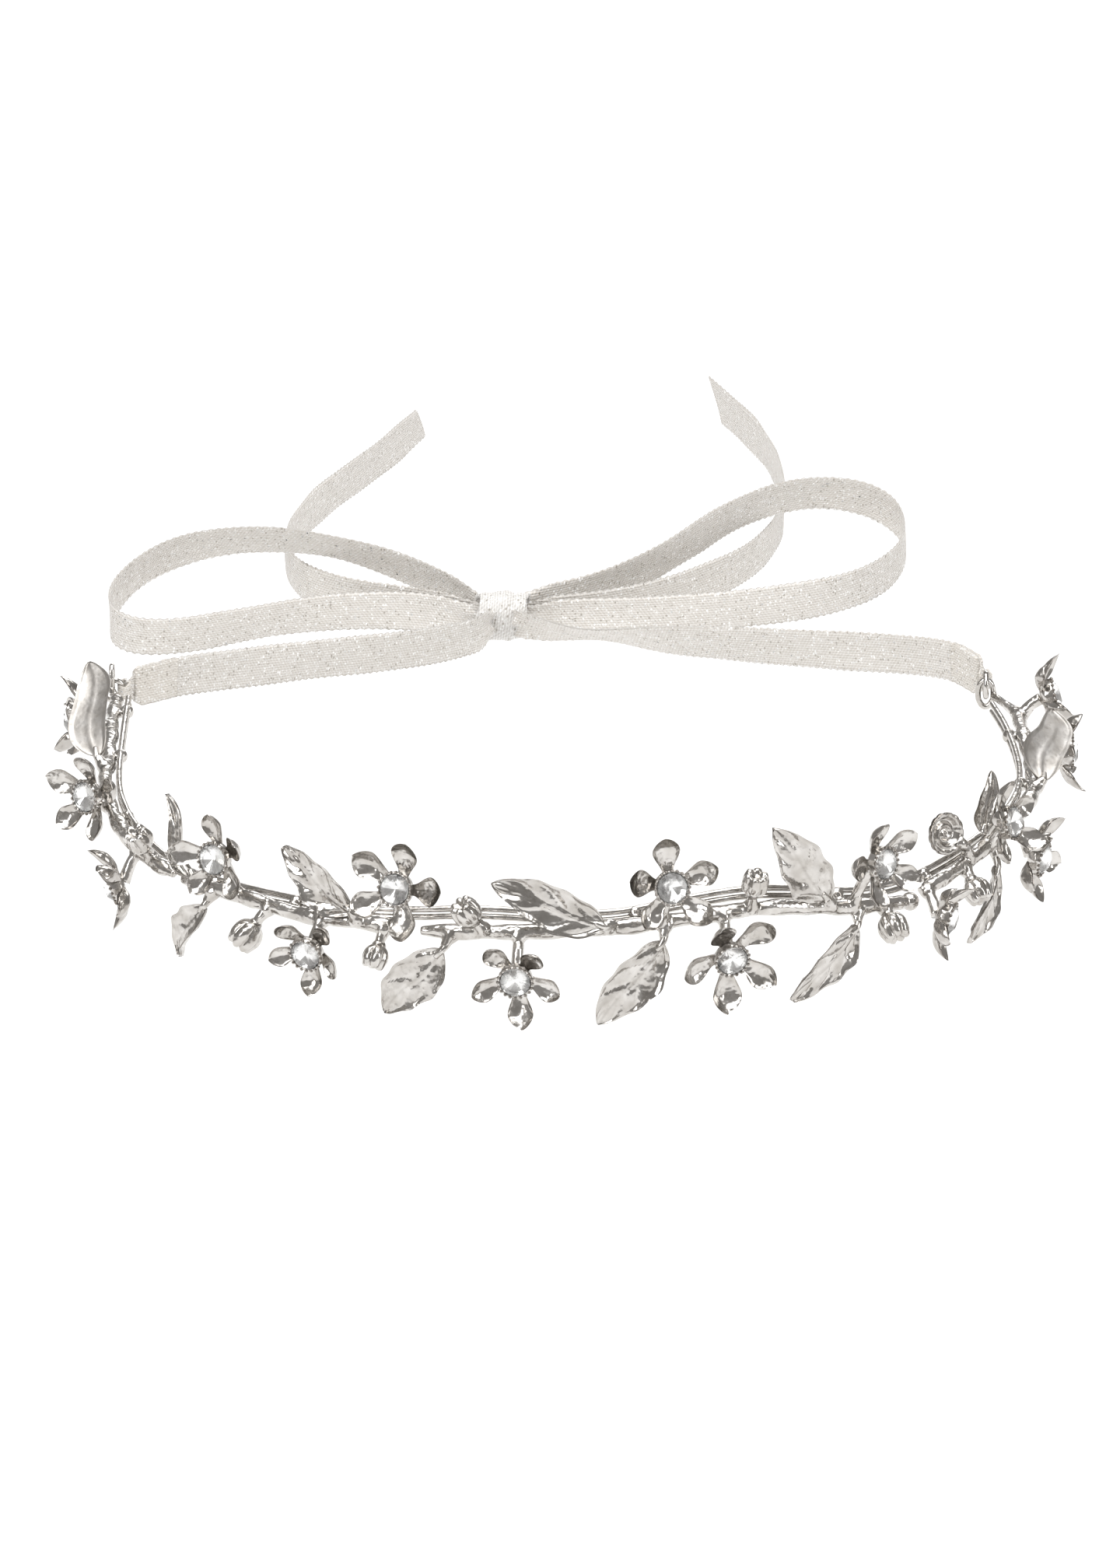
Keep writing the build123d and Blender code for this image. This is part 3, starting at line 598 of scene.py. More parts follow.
PETAL_START = 1.6            # distance of the petal's foot from the flower's axis
PETAL_LENGTH = 6.3
PETAL_HALF_WIDTH = 2.12
PETAL_NECK = 0.85
PETAL_THICKNESS = 0.72


def petal(size, lift, curl, fold):
    """A thick spoon-shaped petal that runs out along x, widest near its slightly pointed end."""
    length, half_width = PETAL_LENGTH * size, PETAL_HALF_WIDTH * size
    widest = 0.66
    across = 15
    t = np.sin(np.linspace(-pi / 2, pi / 2, across))
    sections = []
    for s in 1 - (1 - np.linspace(0, 1, 24)) ** 1.6:
        past = max(0.0, (s - widest) / (1 - widest))
        width = PETAL_NECK + (half_width - PETAL_NECK) * step(s, 0.10, widest)
        width = max(width * max(1 - past**1.7, 0.0) ** 0.68, 0.07)
        y = width * t
        bowl = t**2 + (1 - t**2) * past**2
        hollow = 0.95 * size * bowl * step(s, 0.12, 0.6)
        rim = 0.16 * step(np.sqrt(bowl), 0.80, 0.97) * step(s, 0.15, 0.4)
        crease = -0.12 * np.exp(-((y / 0.4) ** 2)) * step(s, 0.1, 0.3) * (1 - step(s, 0.7, 0.9))
        top = hollow + rim + crease + fold * t * step(s, 0.3, 0.9)
        under = top - PETAL_THICKNESS * (1 - 0.30 * t**2) + 0.28 * past**2
        reach = PETAL_START + length * s * cos(radians(lift)) - 0.25 * curl * s**3
        rise = 0.1 + length * s * sin(radians(lift)) - 0.5 * size * sin(pi * s) + curl * s**3
        upper = np.stack([np.full(across, reach), y, rise + top], -1)
        lower = np.stack([np.full(across, reach - 0.06), y * 0.9, rise + under], -1)
        sections.append(both_faces(upper, lower))
    return loft(sections)


def turned_about_z(shape, angle):
    points, faces = shape
    c, s = cos(angle), sin(angle)
    return points @ np.array([[c, s, 0], [-s, c, 0], [0, 0, 1]]), faces


CUP = [(0.3, -0.75), (1.3, -0.72), (2.2, -0.45), (2.62, 0.1), (2.72, 0.9), (2.74, 1.45), (2.62, 1.68),
       (2.42, 1.62), (2.36, 1.2), (2.3, 0.7), (1.6, 0.42), (0.3, 0.4)]
BEADS = 20
BEAD_RADIUS = 0.27
BEAD_CIRCLE = 2.64           # the beads sit on the cup's rim
BEAD_HEIGHT = 1.62
PETALS = 5


def flower_shape(name, seed):
    stem_name, root, centre, turn, tilt, roll, size = FLOWERS[name]
    axes = facing_axes(centre, turn, tilt)
    origin = on_ring(*centre)
    parts = [turned(CUP, 36)]
    for k in range(BEADS):
        spin = 2 * pi * k / BEADS
        place = vec(BEAD_CIRCLE * cos(spin), BEAD_CIRCLE * sin(spin), BEAD_HEIGHT)
        parts.append(ball(place, BEAD_RADIUS, 6, 8))
    for k in range(PETALS):
        odd = sin(2.4 * k + 1.7 * seed)
        even = sin(4.1 * k + 2.9 * seed + 1)
        shape = petal(size * (1 + 0.05 * even), 16 + 9 * odd, 0.15 + 0.5 * even, 0.28 * odd)
        parts.append(turned_about_z(shape, radians(90 + roll + 360 / PETALS * k + 5 * even)))
    head = placed(merge(parts), origin, *axes)
    start = stem_point(stem_name, root)
    end = origin - axes[2] * 0.7
    way = unit(end - start)
    bend = (start + end) / 2 + np.cross(way, axes[0]) * 0.25
    stalk = tube(smooth_line([start, bend, end], 6), np.linspace(0.82, 1.0, 13), 12)
    return merge([head, stalk])


for seed, name in enumerate(FLOWERS):
    make_piece(name + "_cast", flower_shape(name, seed), CAST, "crown", [name])


def stone():
    """A round brilliant-cut stone along z: its crown facets, and the foiled facets behind."""
    rings = [(2.30, 1.18, 16, 0), (2.32, 1.42, 16, 0)]
    points = [vec(0, 0, 0.45)]
    for radius, height, count, shift in rings + [(1.92, 1.86, 8, 0.5), (1.28, 2.3, 8, 0)]:
        for k in range(count):
            spin = 2 * pi * (k + shift) / count
            points.append(vec(radius * cos(spin), radius * sin(spin), height))
    low, high, kite, table = 1, 17, 33, 41
    back, crown = [], []
    for k in range(16):
        after = (k + 1) % 16
        back.append((0, low + after, low + k))
        crown.append((low + k, low + after, high + after, high + k))
    for k in range(8):
        after, before = (k + 1) % 8, (k - 1) % 8
        crown.append((high + 2 * k, high + 2 * k + 1, kite + k))
        crown.append((high + 2 * k + 1, high + (2 * k + 2) % 16, kite + k))
        crown.append((high + 2 * k, kite + k, table + k, kite + before))
        crown.append((table + k, kite + k, table + after))
    crown.append(tuple(range(table, table + 8)))
    return (np.array(points), back + crown), len(back)


STONE, FOILED_FACES = stone()
STONE_PROUD = 0.22           # the stone sits this much out of its cup, on its cement

for stem_name in STEMS:
    node = stem_name.replace("stem", "crystals")
    stones = []
    for seed, (name, spec) in enumerate(FLOWERS.items()):
        if spec[0] == stem_name:
            axes = facing_axes(*spec[2:5])
            seat = on_ring(*spec[2]) + axes[2] * STONE_PROUD
            stones.append(placed(turned_about_z(STONE, 0.7 * seed), seat, *axes))
    piece = make_piece(node + "_cut", merge(stones), GLASS, "crown", [node], smooth=False)
    piece.data.materials.append(FOIL)
    for number, face in enumerate(piece.data.polygons):
        if number % len(STONE[1]) < FOILED_FACES:
            face.material_index = 1


# --- leaves ---
def blade_axes(foot, tip, roll):
    """Lengthwise, sideways and facing unit vectors of a leaf, and its length."""
    start, end = on_ring(*foot), on_ring(*tip)
    length_way = unit(end - start)
    outward = ring_axes((foot[0] + tip[0]) / 2)[0]
    sideways = unit(np.cross(outward, length_way))
    face = np.cross(length_way, sideways)
    rolled = face * cos(radians(roll)) + sideways * sin(radians(roll))
    return (length_way, np.cross(rolled, length_way), rolled), np.linalg.norm(end - start)


# outline: where along the blade it is widest, how blunt its tip is, side veins, depth of relief,
# how its sides are cupped, how its length is bowed, and an S-bend sideways
BLADES = {
    "veined": dict(widest=0.43, blunt=0.66, veins=3.6, relief=0.54, cup=0.75, bow=1.0, sway=0.30, slim=1.0),
    "narrow": dict(widest=0.42, blunt=0.55, veins=2.4, relief=0.16, cup=0.5, bow=0.6, sway=1.0, slim=0.8),
    "upright": dict(widest=0.36, blunt=0.55, veins=2.4, relief=0.12, cup=0.7, bow=0.4, sway=0.25, slim=0.92),
    "curled": dict(widest=0.48, blunt=0.62, veins=3.2, relief=0.36, cup=1.3, bow=1.1, sway=0.4, slim=0.9),
    "sheet": dict(widest=0.42, blunt=0.6, veins=0, relief=0.0, cup=0.35, bow=0.9, sway=0.9, slim=0.92),
}


LEAF_THICKNESS = 0.62


def blade(length, width, widest, blunt, veins, relief, cup, bow, sway, slim, seed):
    """A cast leaf along x, with a midrib, puffed uneven fields between its veins and a thick wavy rim."""
    sections = []
    across = 29
    width = width * slim
    power = np.log(0.5) / np.log(widest)
    t = np.sin(np.linspace(-pi / 2, pi / 2, across))
    on_side = np.sign(t)
    for s in np.linspace(0, 1, 64):
        bell = sin(pi * s**power) ** blunt if 0 < s < 1 else 0.0
        phase = (s * 1.1 - 0.34 * np.abs(t) ** 1.4) * veins + 0.22 * on_side + 0.37 * seed
        field = np.floor(phase)
        fullness = 0.65 + 0.35 * np.sin(2.3 * field + 1.9 * seed + on_side)
        puff = np.sin(pi * (phase - field)) ** 0.55 * fullness if veins else 0.5 + 0.0 * t
        waver = 0.05 * sin(2 * pi * s * max(veins, 1.5) + seed) + 0.02 * sin(19 * s + 2 * seed)
        half = max(width / 2 * bell * (1 + waver), 0.34 * (1 - s) + 0.10)
        y = half * t
        inner = 1 - step(np.abs(t), 0.74, 0.96)
        puffed = relief * (puff - 0.3) * inner * step(np.abs(y), 0.10, 0.8) * min(1, 4 * bell)
        rib = (0.40 if veins else 0.12) * (1 - 0.75 * s) * np.exp(-((y / 0.30) ** 2))
        rim = 0.26 * step(np.abs(t), 0.76, 0.93)
        ripple = 0.24 * np.sin(8 * s + 1.3 * seed + 2.0 * on_side) * t**2
        top = puffed + rib + rim + ripple + cup * (np.abs(y) / (width / 2)) ** 2
        under = top - LEAF_THICKNESS * (1 - 0.3 * t**2)
        rise = bow * (sin(pi * s) * 0.5 - 0.9 * s**3 + 0.1)
        drift = sway * sin(2 * pi * s)
        upper = np.stack([np.full(across, length * s), y + drift, rise + top - 0.2], -1)
        lower = np.stack([np.full(across, length * s), y * 0.93 + drift, rise + under - 0.2], -1)
        sections.append(both_faces(upper, lower))
    return loft(sections)


def curled_disc(length, width):
    """A young leaf rolled into a disc: a serrated rim, and a ridge that winds in to the middle."""
    radius = width / 2 - 0.35
    middle = length - radius - 0.5
    around = 78
    spin = np.linspace(0, 2 * pi, around, endpoint=False)
    top = [(r, True) for r in np.linspace(0.03, 1, 26)]
    under = [(r, False) for r in np.linspace(1, 0.03, 8)]
    sections = []
    for r, above in top + under:
        teeth = 1 + 0.05 * np.abs(np.sin(6.5 * spin)) ** 0.6 * r**3
        ridge = 0.34 * np.cos(2 * pi * 2.0 * r - spin) * step(r, 0.05, 0.25) * (1 - step(r, 0.76, 0.88))
        height = ridge + 0.45 * step(r, 0.74, 0.88) if above else np.full(around, 0.25 * r**2 - 0.55)
        across = radius * r * teeth
        sections.append(np.stack([middle + across * np.cos(spin), across * np.sin(spin), height], -1))
    neck = tube([vec(0, 0, -0.1), vec(middle - radius * 0.8, 0, -0.1)], [0.75, 1.2], 12)
    return merge([loft(sections), neck])


for seed, (name, (stem_name, root, foot, tip, width, roll, cast)) in enumerate(LEAVES.items()):
    axes, length = blade_axes(foot, tip, roll)
    shape = curled_disc(length, width) if cast == "round" else blade(length, width, seed=seed, **BLADES[cast])
    blade_part = placed(shape, on_ring(*foot), *axes)
    start = stem_point(stem_name, root)
    foot_point = on_ring(*foot)
    turn = (start + foot_point) / 2 + axes[1] * 0.2
    stalk_line = smooth_line([start, turn, foot_point, foot_point + axes[0] * 1.5], 6)
    stalk = tube(stalk_line, np.linspace(0.8, 0.45, len(stalk_line)), 12)
    finish = SMOOTH if cast == "sheet" else CAST
    make_piece(name + "_cast", merge([blade_part, stalk]), finish, "crown", [name])


# --- buds ---
def bud_shape(size, ribs):
    """A ribbed knob along z with a dimpled crown on top."""
    sections = []
    sides = ribs * 10
    spin = np.linspace(0, 2 * pi, sides, endpoint=False)
    ridge = 1 - np.abs(np.sin(ribs * spin / 2)) ** 0.8
    for part in np.linspace(0, 1, 26):
        turn = pi * (0.04 + 0.80 * part)
        radius = sin(turn)
        height = -cos(turn)
        if part > 0.86:
            sunk = (part - 0.86) / 0.14
            radius *= 1 - 0.6 * sunk
            height -= 0.45 * sunk**2
        depth = 0.17 * step(part, 0.12, 0.4)
        ring = radius * (1 - depth * ridge)
        lift = height + 0.16 * (1 - ridge) * step(part, 0.7, 0.86) * (1 - 0.5 * step(part, 0.9, 1.0))
        sections.append(np.stack([ring * np.cos(spin), ring * np.sin(spin), lift], -1))
    points, faces = loft(sections)
    return points * BUD_RADIUS * size, faces


for seed, (name, (stem_name, root, centre, size)) in enumerate(BUDS.items()):
    middle = on_ring(*centre)
    start = stem_point(stem_name, root)
    growth = unit(middle - start)
    side = unit(np.cross(growth, ring_axes(centre[0])[1]))
    knob = placed(bud_shape(size, 7 if seed % 2 else 6), middle, side, np.cross(growth, side), growth)
    neck_end = middle - growth * BUD_RADIUS * size * 0.8
    line = smooth_line([start, (start + neck_end) / 2 + side * 0.2, neck_end], 6)
    collar = ball(neck_end, 1.15)
    shape = merge([knob, tube(line, np.linspace(0.85, 0.8, len(line)), 12), collar])
    make_piece(name + "_cast", shape, CAST, "crown", [name])


# --- wires and jump rings keep their CAD shape ---
for node, material in (("base_wire_upper", WIRE), ("base_wire_lower", WIRE),
                       ("left_jump_ring", BRIGHT), ("right_jump_ring", BRIGHT)):
    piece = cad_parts[node]
    piece.data.materials.clear()
    piece.data.materials.append(material)


# --- ribbons ---
RIBBON_WIDTH = 6.35
RIBBON_THICKNESS = 0.34
PICOT_PITCH = 1.35
PICOT_REACH = 0.26
# (x, y, z, degrees that the ribbon leans towards the front) from the centre of the ring's front arc
LEFT_ROUTE = [
    (-71.4, 42.6, 12.8, 0), (-67.0, 45.6, 12.8, 0), (-62.8, 48.9, 12.9, 0), (-54.5, 56.2, 11.4, 0),
    (-42.0, 67.0, 9.2, 0), (-29.6, 77.1, 7.0, 5), (-20.6, 86.0, 5.3, 12), (-14.8, 94.0, 4.1, 10),
    (-12.6, 101.2, 3.7, 0), (-12.2, 104.4, 3.7, 0),
    (-14.3, 107.0, 4.0, 10), (-22.0, 114.5, 6.3, 20), (-31.0, 118.4, 8.8, 32), (-41.0, 121.2, 10.6, 36),
    (-51.0, 123.4, 10.9, 34), (-60.0, 123.6, 10.2, 28), (-67.5, 120.5, 9.0, 20), (-73.0, 114.5, 7.4, 10),
    (-76.3, 106.5, 5.4, 4), (-76.0, 99.0, 4.0, 0), (-71.5, 94.8, 3.4, 5), (-64.0, 95.8, 3.3, 12),
    (-55.5, 100.4, 3.3, 15), (-46.5, 105.4, 3.3, 12), (-37.0, 108.4, 3.3, 5), (-27.0, 108.4, 3.4, 0),
    (-20.0, 105.6, 3.5, 0), (-14.3, 103.2, 3.6, 0), (-12.4, 103.6, 3.6, 0),
    (-14.3, 105.1, 3.4, 0), (-21.5, 108.9, 3.3, 0), (-30.0, 112.6, 3.3, 0), (-38.0, 116.0, 3.3, 0),
    (-44.3, 122.4, 3.3, 0), (-47.6, 132.0, 3.3, 0), (-47.9, 143.5, 3.3, 0), (-45.2, 156.5, 3.3, 0),
    (-40.4, 170.5, 3.3, 0), (-34.8, 184.0, 3.3, 0), (-29.9, 196.5, 3.3, 0), (-25.8, 208.5, 3.3, 0),
]
RIGHT_ROUTE = [
    (67.0, 44.6, 13.7, 0), (64.6, 49.4, 13.75, 0), (61.9, 53.8, 13.8, 0), (54.5, 60.8, 12.4, 0),
    (41.5, 68.6, 10.4, 5), (28.0, 76.9, 8.3, 15), (14.5, 85.3, 6.2, 40), (3.0, 93.0, 4.7, 62),
    (-4.8, 98.0, 3.9, 40), (-9.4, 101.2, 3.6, 10), (-10.6, 103.8, 3.6, 0),
    (-8.3, 103.0, 3.6, 0), (0.5, 104.6, 3.4, 0), (11.0, 105.6, 3.3, 0), (22.5, 107.6, 3.3, 0),
    (34.5, 111.2, 3.3, 0), (45.2, 116.8, 3.3, 0), (52.8, 125.0, 3.6, 0), (57.0, 135.0, 4.8, 5),
    (56.6, 143.4, 7.2, 10), (51.5, 148.2, 9.6, 16), (43.5, 149.2, 10.7, 20), (35.2, 145.0, 10.9, 20),
    (27.4, 136.0, 10.6, 18), (20.2, 125.6, 9.4, 15), (12.2, 117.2, 7.2, 12), (2.4, 111.0, 5.2, 8),
    (-8.3, 107.4, 4.0, 5), (-10.8, 106.0, 3.8, 0),
    (-8.3, 105.1, 3.4, 0), (0.5, 107.3, 3.3, 0), (10.5, 111.4, 3.3, 0), (20.6, 119.8, 3.3, 0),
    (29.2, 130.8, 3.3, 0), (34.4, 144.5, 3.3, 0), (36.8, 160.0, 3.3, 0), (36.9, 176.0, 3.3, 0),
    (34.6, 192.5, 3.3, 0), (30.4, 208.5, 3.3, 0), (26.0, 221.5, 3.3, 0),
]
KNOT_CENTRE = at(-11.3, 104.7, 3.7)
FOLD_LENGTH = 3.0            # the ribbon narrows to the ring over this length
SAMPLE = 0.34                # distance between the ribbon's cross sections
LOOK_AHEAD = 160             # points of the line among which a route's next point is looked for
LEAN_BLUR = 41               # points over which the leans are evened out


def route_line(name, route):
    """The smooth line that a NURBS spline makes of a route, in millimetres."""
    curve = bpy.data.curves.new(name, "CURVE")
    curve.dimensions = "3D"
    curve.resolution_u = 24
    spline = curve.splines.new("NURBS")
    spline.points.add(len(route) - 1)
    for point, place in zip(spline.points, route):
        point.co = (*(at(*place[:3]) * MM), 1)
    spline.order_u = 3
    spline.use_endpoint_u = True
    holder = add_object(name, curve)
    depsgraph = bpy.context.evaluated_depsgraph_get()
    mesh = bpy.data.meshes.new_from_object(holder.evaluated_get(depsgraph))
    line = np.array([v.co[:] for v in mesh.vertices]) / MM
    bpy.data.objects.remove(holder)
    return line


def resampled(line, spacing):
    """A line with points at even distances, and the distance of each from its start."""
    gaps = np.linalg.norm(np.diff(line, axis=0), axis=1)
    run = np.concatenate([[0], np.cumsum(gaps)])
    even = np.linspace(0, run[-1], int(run[-1] / spacing) + 1)
    return np.stack([np.interp(even, run, line[:, k]) for k in range(3)], -1), even


def leans_along(line, run, route):
    """The lean at each point of the line, from the leans at the route's points nearest to it."""
    here, known = 0, []
    for place in route:
        ahead = np.linalg.norm(line[here:here + LOOK_AHEAD] - at(*place[:3]), axis=1)
        here += int(ahead.argmin())
        known.append(run[here])
    known = np.maximum.accumulate(np.array(known) + np.arange(len(known)) * 1e-6)
    lean = np.interp(run, known, [place[3] for place in route])
    kernel = np.hanning(LEAN_BLUR) / np.hanning(LEAN_BLUR).sum()
    return np.convolve(np.pad(lean, LEAN_BLUR // 2, mode="edge"), kernel, mode="valid")


BACK_WEAVE = vec(31, 17, 0)  # the ribbon's back shows another part of the weave


def weave_row(along, across, layer=0.0):
    """The places on the weave of a cross section's points: along and across the ribbon, and its layer."""
    return np.stack([np.zeros(len(across)) + along, across, np.full(len(across), layer)], -1)


def ribbon(name, route, cut, seed):
    """A ribbon on its edge along its route, cut slanting by cut: shape, places on the weave, line and run."""
    line, run = resampled(route_line(name, route), SAMPLE)
    ways = tangents(line)
    lean = np.radians(leans_along(line, run, route))
    across = 17
    t = np.linspace(-1, 1, across)
    sections, weave = [], []
    for point, way, tilt, s in zip(line, ways, lean, run):
        upward = vec(0, -sin(tilt), cos(tilt))
        upward = unit(upward - way * upward.dot(way))
        face = np.cross(way, upward)
        from_knot = np.linalg.norm(point - KNOT_CENTRE)
        squeeze = 1 - 0.34 * (1 - step(from_knot, 3.0, 11.0))
        gather = 0.42 + 0.58 * step(s, 0.0, FOLD_LENGTH)
        half = RIBBON_WIDTH / 2 * squeeze * gather
        picot = PICOT_REACH * (0.5 + 0.5 * cos(2 * pi * s / PICOT_PITCH)) * step(s, 2, 4)
        offset = half * t + np.sign(t) * picot * (np.abs(t) > 0.99)
        wave = 0.22 * sin(s / 5.3 + seed) + 0.16 * sin(s / 2.9 + 2 * seed)
        bowed = 0.22 * (t**2 - 0.4) * sin(s / 9.0 + seed) + wave * t * 0.5
        crumple = 0.35 * np.sin(5 * t + s / 2.0) * (1 - step(from_knot, 3.0, 10.0))
        slant = cut * t * step(s, run[-1] - 9.0, run[-1])
        middle = point + np.outer(offset, upward) + np.outer(bowed + crumple, face) + np.outer(slant, way)
        thick = RIBBON_THICKNESS / 2 * (1 - 0.35 * (np.abs(t) > 0.99))
        front = middle + np.outer(thick * np.ones(across), face)
        back = middle - np.outer(thick * np.ones(across), face)
        sections.append(both_faces(front, back))
        place = weave_row(s + slant, half * t)
        weave.append(both_faces(place, place + BACK_WEAVE))
    return loft(sections), np.concatenate(weave), line, run


def add_weave(piece, places):
    """Stores each point's place on the weave for the material."""
    attribute = piece.data.attributes.new("weave", "FLOAT_VECTOR", "POINT")
    attribute.data.foreach_set("vector", places.ravel())


HEM_END = 10.0               # distance from the ring's wire to the hem's loose edge
STITCH_LINE = HEM_END - 1.0
STITCHES = 9
STITCH_PITCH = 0.68
STITCH_HALF = 0.26


def hem_axes(way, side):
    """Upward and facing unit vectors of one face of the hem, where the ribbon runs along way."""
    upward = unit(vec(0, 0, 1) - way * way[2])
    return upward, np.cross(way, upward) * side


def hem(line, run):
    """The second layer of the sewn end, on both faces of the ribbon, with a line of stitches."""
    parts, places = [], []
    inside = [k for k, s in enumerate(run) if FOLD_LENGTH * 0.5 <= s <= HEM_END]
    ways = tangents(line)
    t = np.linspace(-1, 1, 15)
    for side in (-1, 1):
        sections = []
        for k in inside:
            s = run[k]
            upward, face = hem_axes(ways[k], side)
            half = (RIBBON_WIDTH / 2 + 0.05) * (0.45 + 0.55 * step(s, 0.0, FOLD_LENGTH))
            stitched = exp_bump(s, STITCH_LINE, 0.22)
            gap = RIBBON_THICKNESS * 0.5 + 0.28 * (1 - 0.75 * stitched) + 0.06 * sin(2.6 * s)
            inner = line[k] + np.outer(half * t, upward) + face * (RIBBON_THICKNESS * 0.3)
            outer = line[k] + np.outer(half * t, upward) + face * (gap + 0.12)
            sections.append(both_faces(outer, inner))
            place = weave_row(s, half * t, 3.0 * side)
            places.append(both_faces(place, place))
        parts.append(loft(sections))
        middle = int(np.abs(run - STITCH_LINE).argmin())
        upward, face = hem_axes(ways[middle], side)
        for number in range(STITCHES):
            centre = line[middle] + upward * (number - STITCHES // 2) * STITCH_PITCH + face * 0.34
            reach = upward * STITCH_HALF
            stitch = tube([centre - reach, centre, centre + reach], [0.07, 0.11, 0.07], 6)
            parts.append(stitch)
            places.append(np.tile(vec(200 + number, side, 0), (len(stitch[0]), 1)))
    return merge(parts), np.concatenate([p.reshape(-1, 3) for p in places])


def exp_bump(x, middle, width):
    """1 at the middle, and 0 beyond about twice the width from it."""
    return float(np.exp(-(((x - middle) / width) ** 2)))


FOLD_RADIUS = 0.92
FOLD_HALF_THICKNESS = 0.16
FOLD_HALF_SWEEP = pi * 0.80


def fold(wire_point, wire_way, start):
    """The narrow gathered fold that goes round a jump ring's wire and back to the hem."""
    level = unit(start - wire_point - wire_way * wire_way.dot(start - wire_point))
    face = np.cross(wire_way, level)
    sections, places = [], []
    t = np.linspace(-1, 1, 9)
    for k, a in enumerate(np.linspace(-FOLD_HALF_SWEEP, FOLD_HALF_SWEEP, 25)):
        out = -level * cos(a) + face * sin(a)
        radius = FOLD_RADIUS + 0.05 * sin(5 * a)
        height = 1.15 + 0.5 * step(abs(a), 1.2, 2.5)
        outer = wire_point + out * (radius + FOLD_HALF_THICKNESS) + np.outer(height * t, wire_way)
        inner = wire_point + out * (radius - FOLD_HALF_THICKNESS) + np.outer(height * t, wire_way)
        sections.append(both_faces(outer, inner))
        place = weave_row(90 + k * 0.2, height * t)
        places.append(both_faces(place, place))
    return loft(sections), np.concatenate(places)


REST_DROP = radians(75)      # the rings hang this far below the horizontal
DROP = vec(0, cos(REST_DROP), -sin(REST_DROP))
LEFT_WIRE = at(LEFT_LOOP_X, TIE_Y, TIE_Z) + DROP * JUMP_RADIUS + vec(JUMP_RADIUS, 0, 0)
RIGHT_WIRE = at(RIGHT_LOOP_X, TIE_Y, TIE_Z) + DROP * LOOP_TO_JUMP + vec(0, JUMP_RADIUS, 0)
for side, route, cut, wire_point, wire_way, seed in (
    ("left", LEFT_ROUTE, -2.6, LEFT_WIRE, -DROP, 0.4),
    ("right", RIGHT_ROUTE, 3.4, RIGHT_WIRE, vec(0, 0, 1), 1.9),
):
    shape, places, line, run = ribbon(side + "_route", route, cut, seed)
    strip = make_piece(
        side + "_ribbon", shape, IVORY, "ribbon_tie",
        [f"{side}_ribbon_band", f"{side}_bow_loop", f"{side}_ribbon_tail"],
    )
    add_weave(strip, places)
    hem_shape, hem_places = hem(line, run)
    fold_shape, fold_places = fold(wire_point, wire_way, line[int(4 / SAMPLE)])
    sewn = make_piece(
        side + "_hem", merge([hem_shape, fold_shape]), HEMMED, "ribbon_tie", [side + "_ribbon_hem"]
    )
    add_weave(sewn, np.concatenate([hem_places, fold_places]))


KNOT_HALF_HEIGHT = 3.35
KNOT_HALF_WIDTH = 4.3
KNOT_SQUARENESS = 2.6        # 2 is a circle, more is squarer
KNOT_LAYER = 0.6


def knot_shape():
    """The wrap of the bow's knot: one turn of ribbon pulled tight, crumpled, round everything."""
    sections, places = [], []
    around = np.linspace(0, 2 * pi, 72, endpoint=False)
    t = np.linspace(-1, 1, 19)
    for a in around:
        rounded = (abs(cos(a)) ** KNOT_SQUARENESS + abs(sin(a)) ** KNOT_SQUARENESS) ** (-1 / KNOT_SQUARENESS)
        crease = 0.12 * np.sin(7 * t + 1.5 * sin(a)) + 0.07 * np.sin(15 * t - a)
        bulge = KNOT_HALF_HEIGHT + 0.62 * (1 - t**2) + crease
        width = KNOT_HALF_WIDTH + 0.4 * sin(2 * a + 0.6)
        radial = vec(0, cos(a), sin(a)) * rounded
        skew = 0.5 * sin(a)
        outer = KNOT_CENTRE + np.outer(bulge, radial) + np.outer(width * t + skew, vec(1, 0, 0))
        sunk, narrowed = bulge - KNOT_LAYER, width * 0.95 * t + skew
        inner = KNOT_CENTRE + np.outer(sunk, radial) + np.outer(narrowed, vec(1, 0, 0))
        sections.append(both_faces(outer, inner))
        place = weave_row(400 + 3.2 * a, width * t)
        places.append(both_faces(place, place))
    sections.append(sections[0])
    places.append(places[0])
    return loft(sections, capped=False), np.concatenate(places)


shape, places = knot_shape()
knot = make_piece("knot_wrap", shape, SPARKLING, "ribbon_tie", ["bow_knot"])
add_weave(knot, places)


# --- floor, light and camera ---
FLOOR_HEIGHT = -0.058        # under the ribbon's lowest point at the joints' limits
FLOOR_REACH = 3.0
FLOOR_WHITE = (0.92, 0.92, 0.92)
WORLD_GREY = (0.34, 0.33, 0.32)
# name: place, the point that it lights, its width and height, all in metres, and watts
SOFTBOXES = {
    "overhead": ((0.0, -0.1, 1.3), (0, 0.05, 0), (1.5, 1.5), 22),
    "key": ((-1.1, -1.0, 0.9), (0, 0, 0.01), (0.5, 0.9), 9),
    "fill": ((1.3, -0.7, 0.6), (0, 0, 0.01), (0.4, 0.8), 5),
    "rear": ((0.3, 1.6, 0.8), (0, 0.1, 0.01), (1.2, 0.5), 6),
}


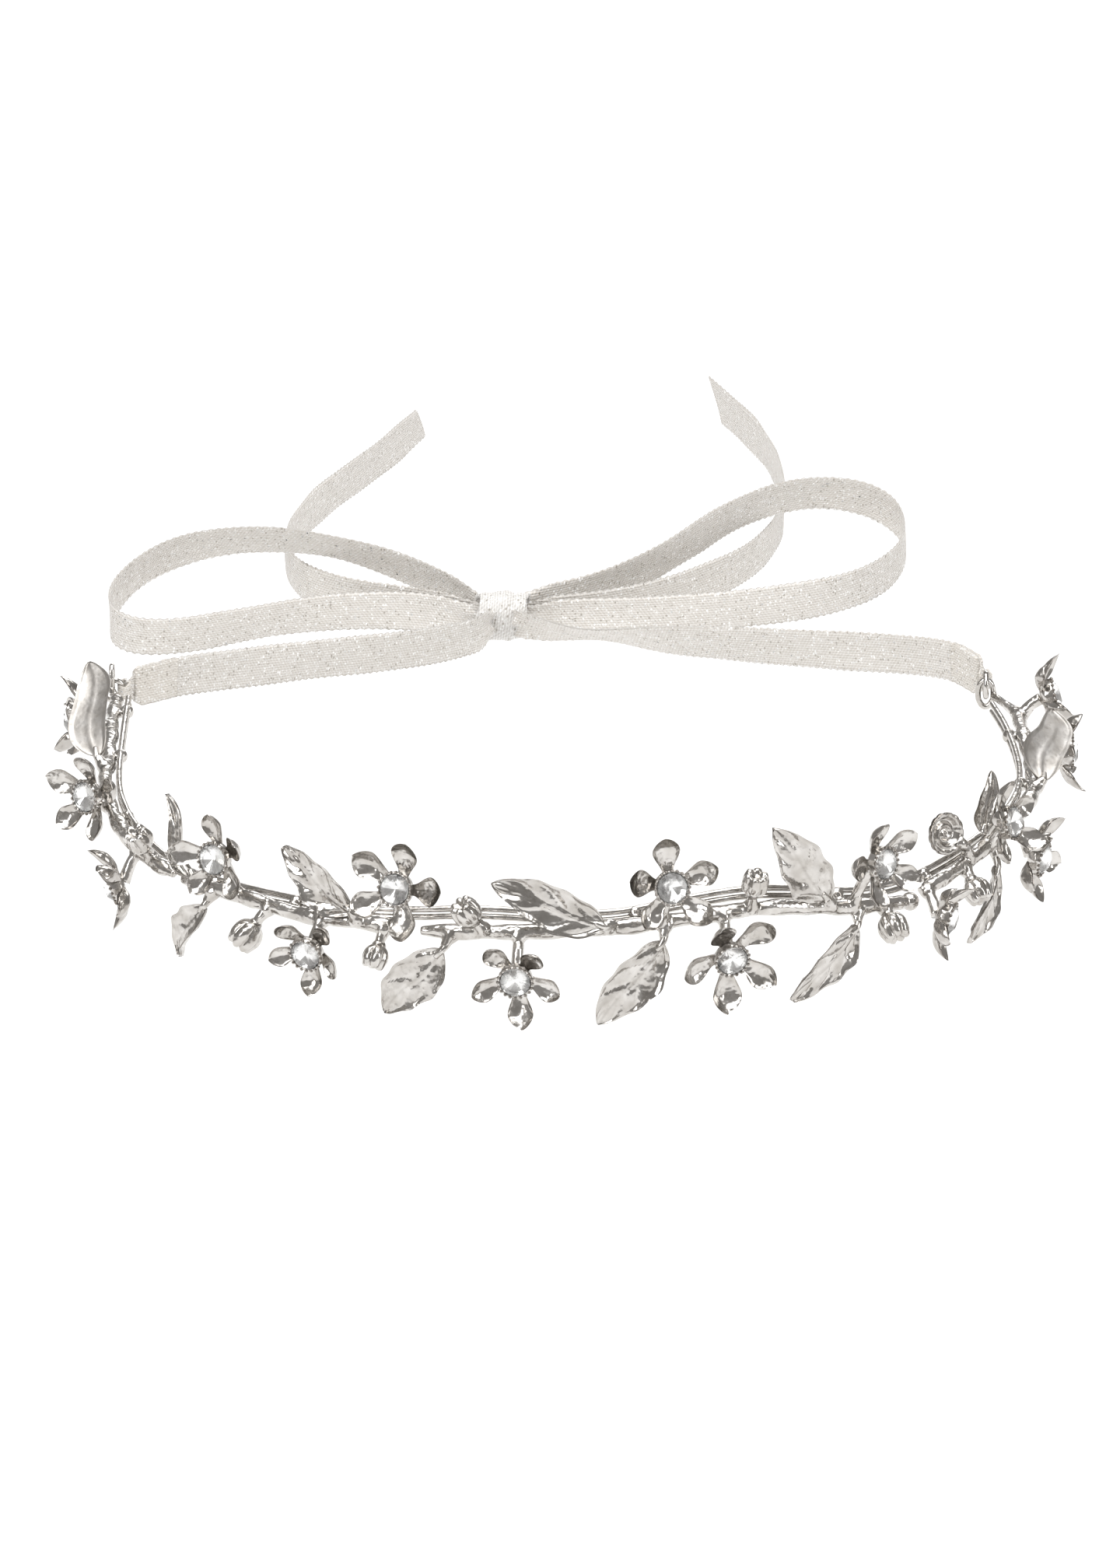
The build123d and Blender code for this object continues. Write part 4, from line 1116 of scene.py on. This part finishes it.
def add_floor():
    """A pale floor, low enough that the ribbon can swing down over it."""
    sides = ((-1, -1), (1, -1), (1, 1), (-1, 1))
    corners = np.array([(x * FLOOR_REACH, y * FLOOR_REACH, FLOOR_HEIGHT) for x, y in sides])
    mesh = make_mesh("floor", (corners, [(0, 1, 2, 3)]))
    floor = add_object("floor", mesh)
    n = Nodes("pale_floor")
    n.feed("Base Color", (*FLOOR_WHITE, 1))
    n.feed("Roughness", 0.9)
    n.feed("Specular IOR Level", 0.1)
    mesh.materials.append(n.material)


def look(thing, place, way):
    """Puts a lamp or the camera at a place, turned to look along way."""
    thing.location = place
    thing.rotation_mode = "QUATERNION"
    thing.rotation_quaternion = way.to_track_quat("-Z", "Y")


def add_softbox(name, place, aim, size, power):
    """A flat lamp of the given width and height, turned towards aim."""
    light = bpy.data.lights.new(name, "AREA")
    light.shape = "RECTANGLE"
    light.size, light.size_y = size
    light.energy = power
    look(add_object(name, light), place, Vector(aim) - Vector(place))


def add_world():
    """An even grey light from all round."""
    world = bpy.data.worlds.new("studio")
    bpy.context.scene.world = world
    world.use_nodes = True
    background = world.node_tree.nodes["Background"]
    background.inputs["Color"].default_value = (*WORLD_GREY, 1)
    background.inputs["Strength"].default_value = 1.0


add_floor()
for name, spec in SOFTBOXES.items():
    add_softbox(name, *spec)
add_world()

CAMERA_DISTANCE = 1.8
CAMERA_ELEVATION = radians(20)
LENS = 262.6
SENSOR_WIDTH = 36
AIM_HEIGHT = 14.0            # the camera looks at the ring's centre at this height, in millimetres,
ASIDE = 1.47 * MM            # which then sits this far right of the picture's middle
ABOVE = 1.84 * MM            # and this far above it

camera = add_object("camera", bpy.data.cameras.new("camera"))
bpy.context.scene.camera = camera
camera.data.sensor_width = SENSOR_WIDTH
camera.data.lens = LENS
camera.data.clip_start = 0.05
camera.data.clip_end = 20
back = Vector((0, -cos(CAMERA_ELEVATION), sin(CAMERA_ELEVATION)))
upwards = Vector((0, sin(CAMERA_ELEVATION), cos(CAMERA_ELEVATION)))
aim = Vector(at(0, 0, AIM_HEIGHT)) * MM - Vector((ASIDE, 0, 0)) - upwards * ABOVE
look(camera, aim + back * CAMERA_DISTANCE, -back)

bpy.context.scene.view_settings.view_transform = "Standard"
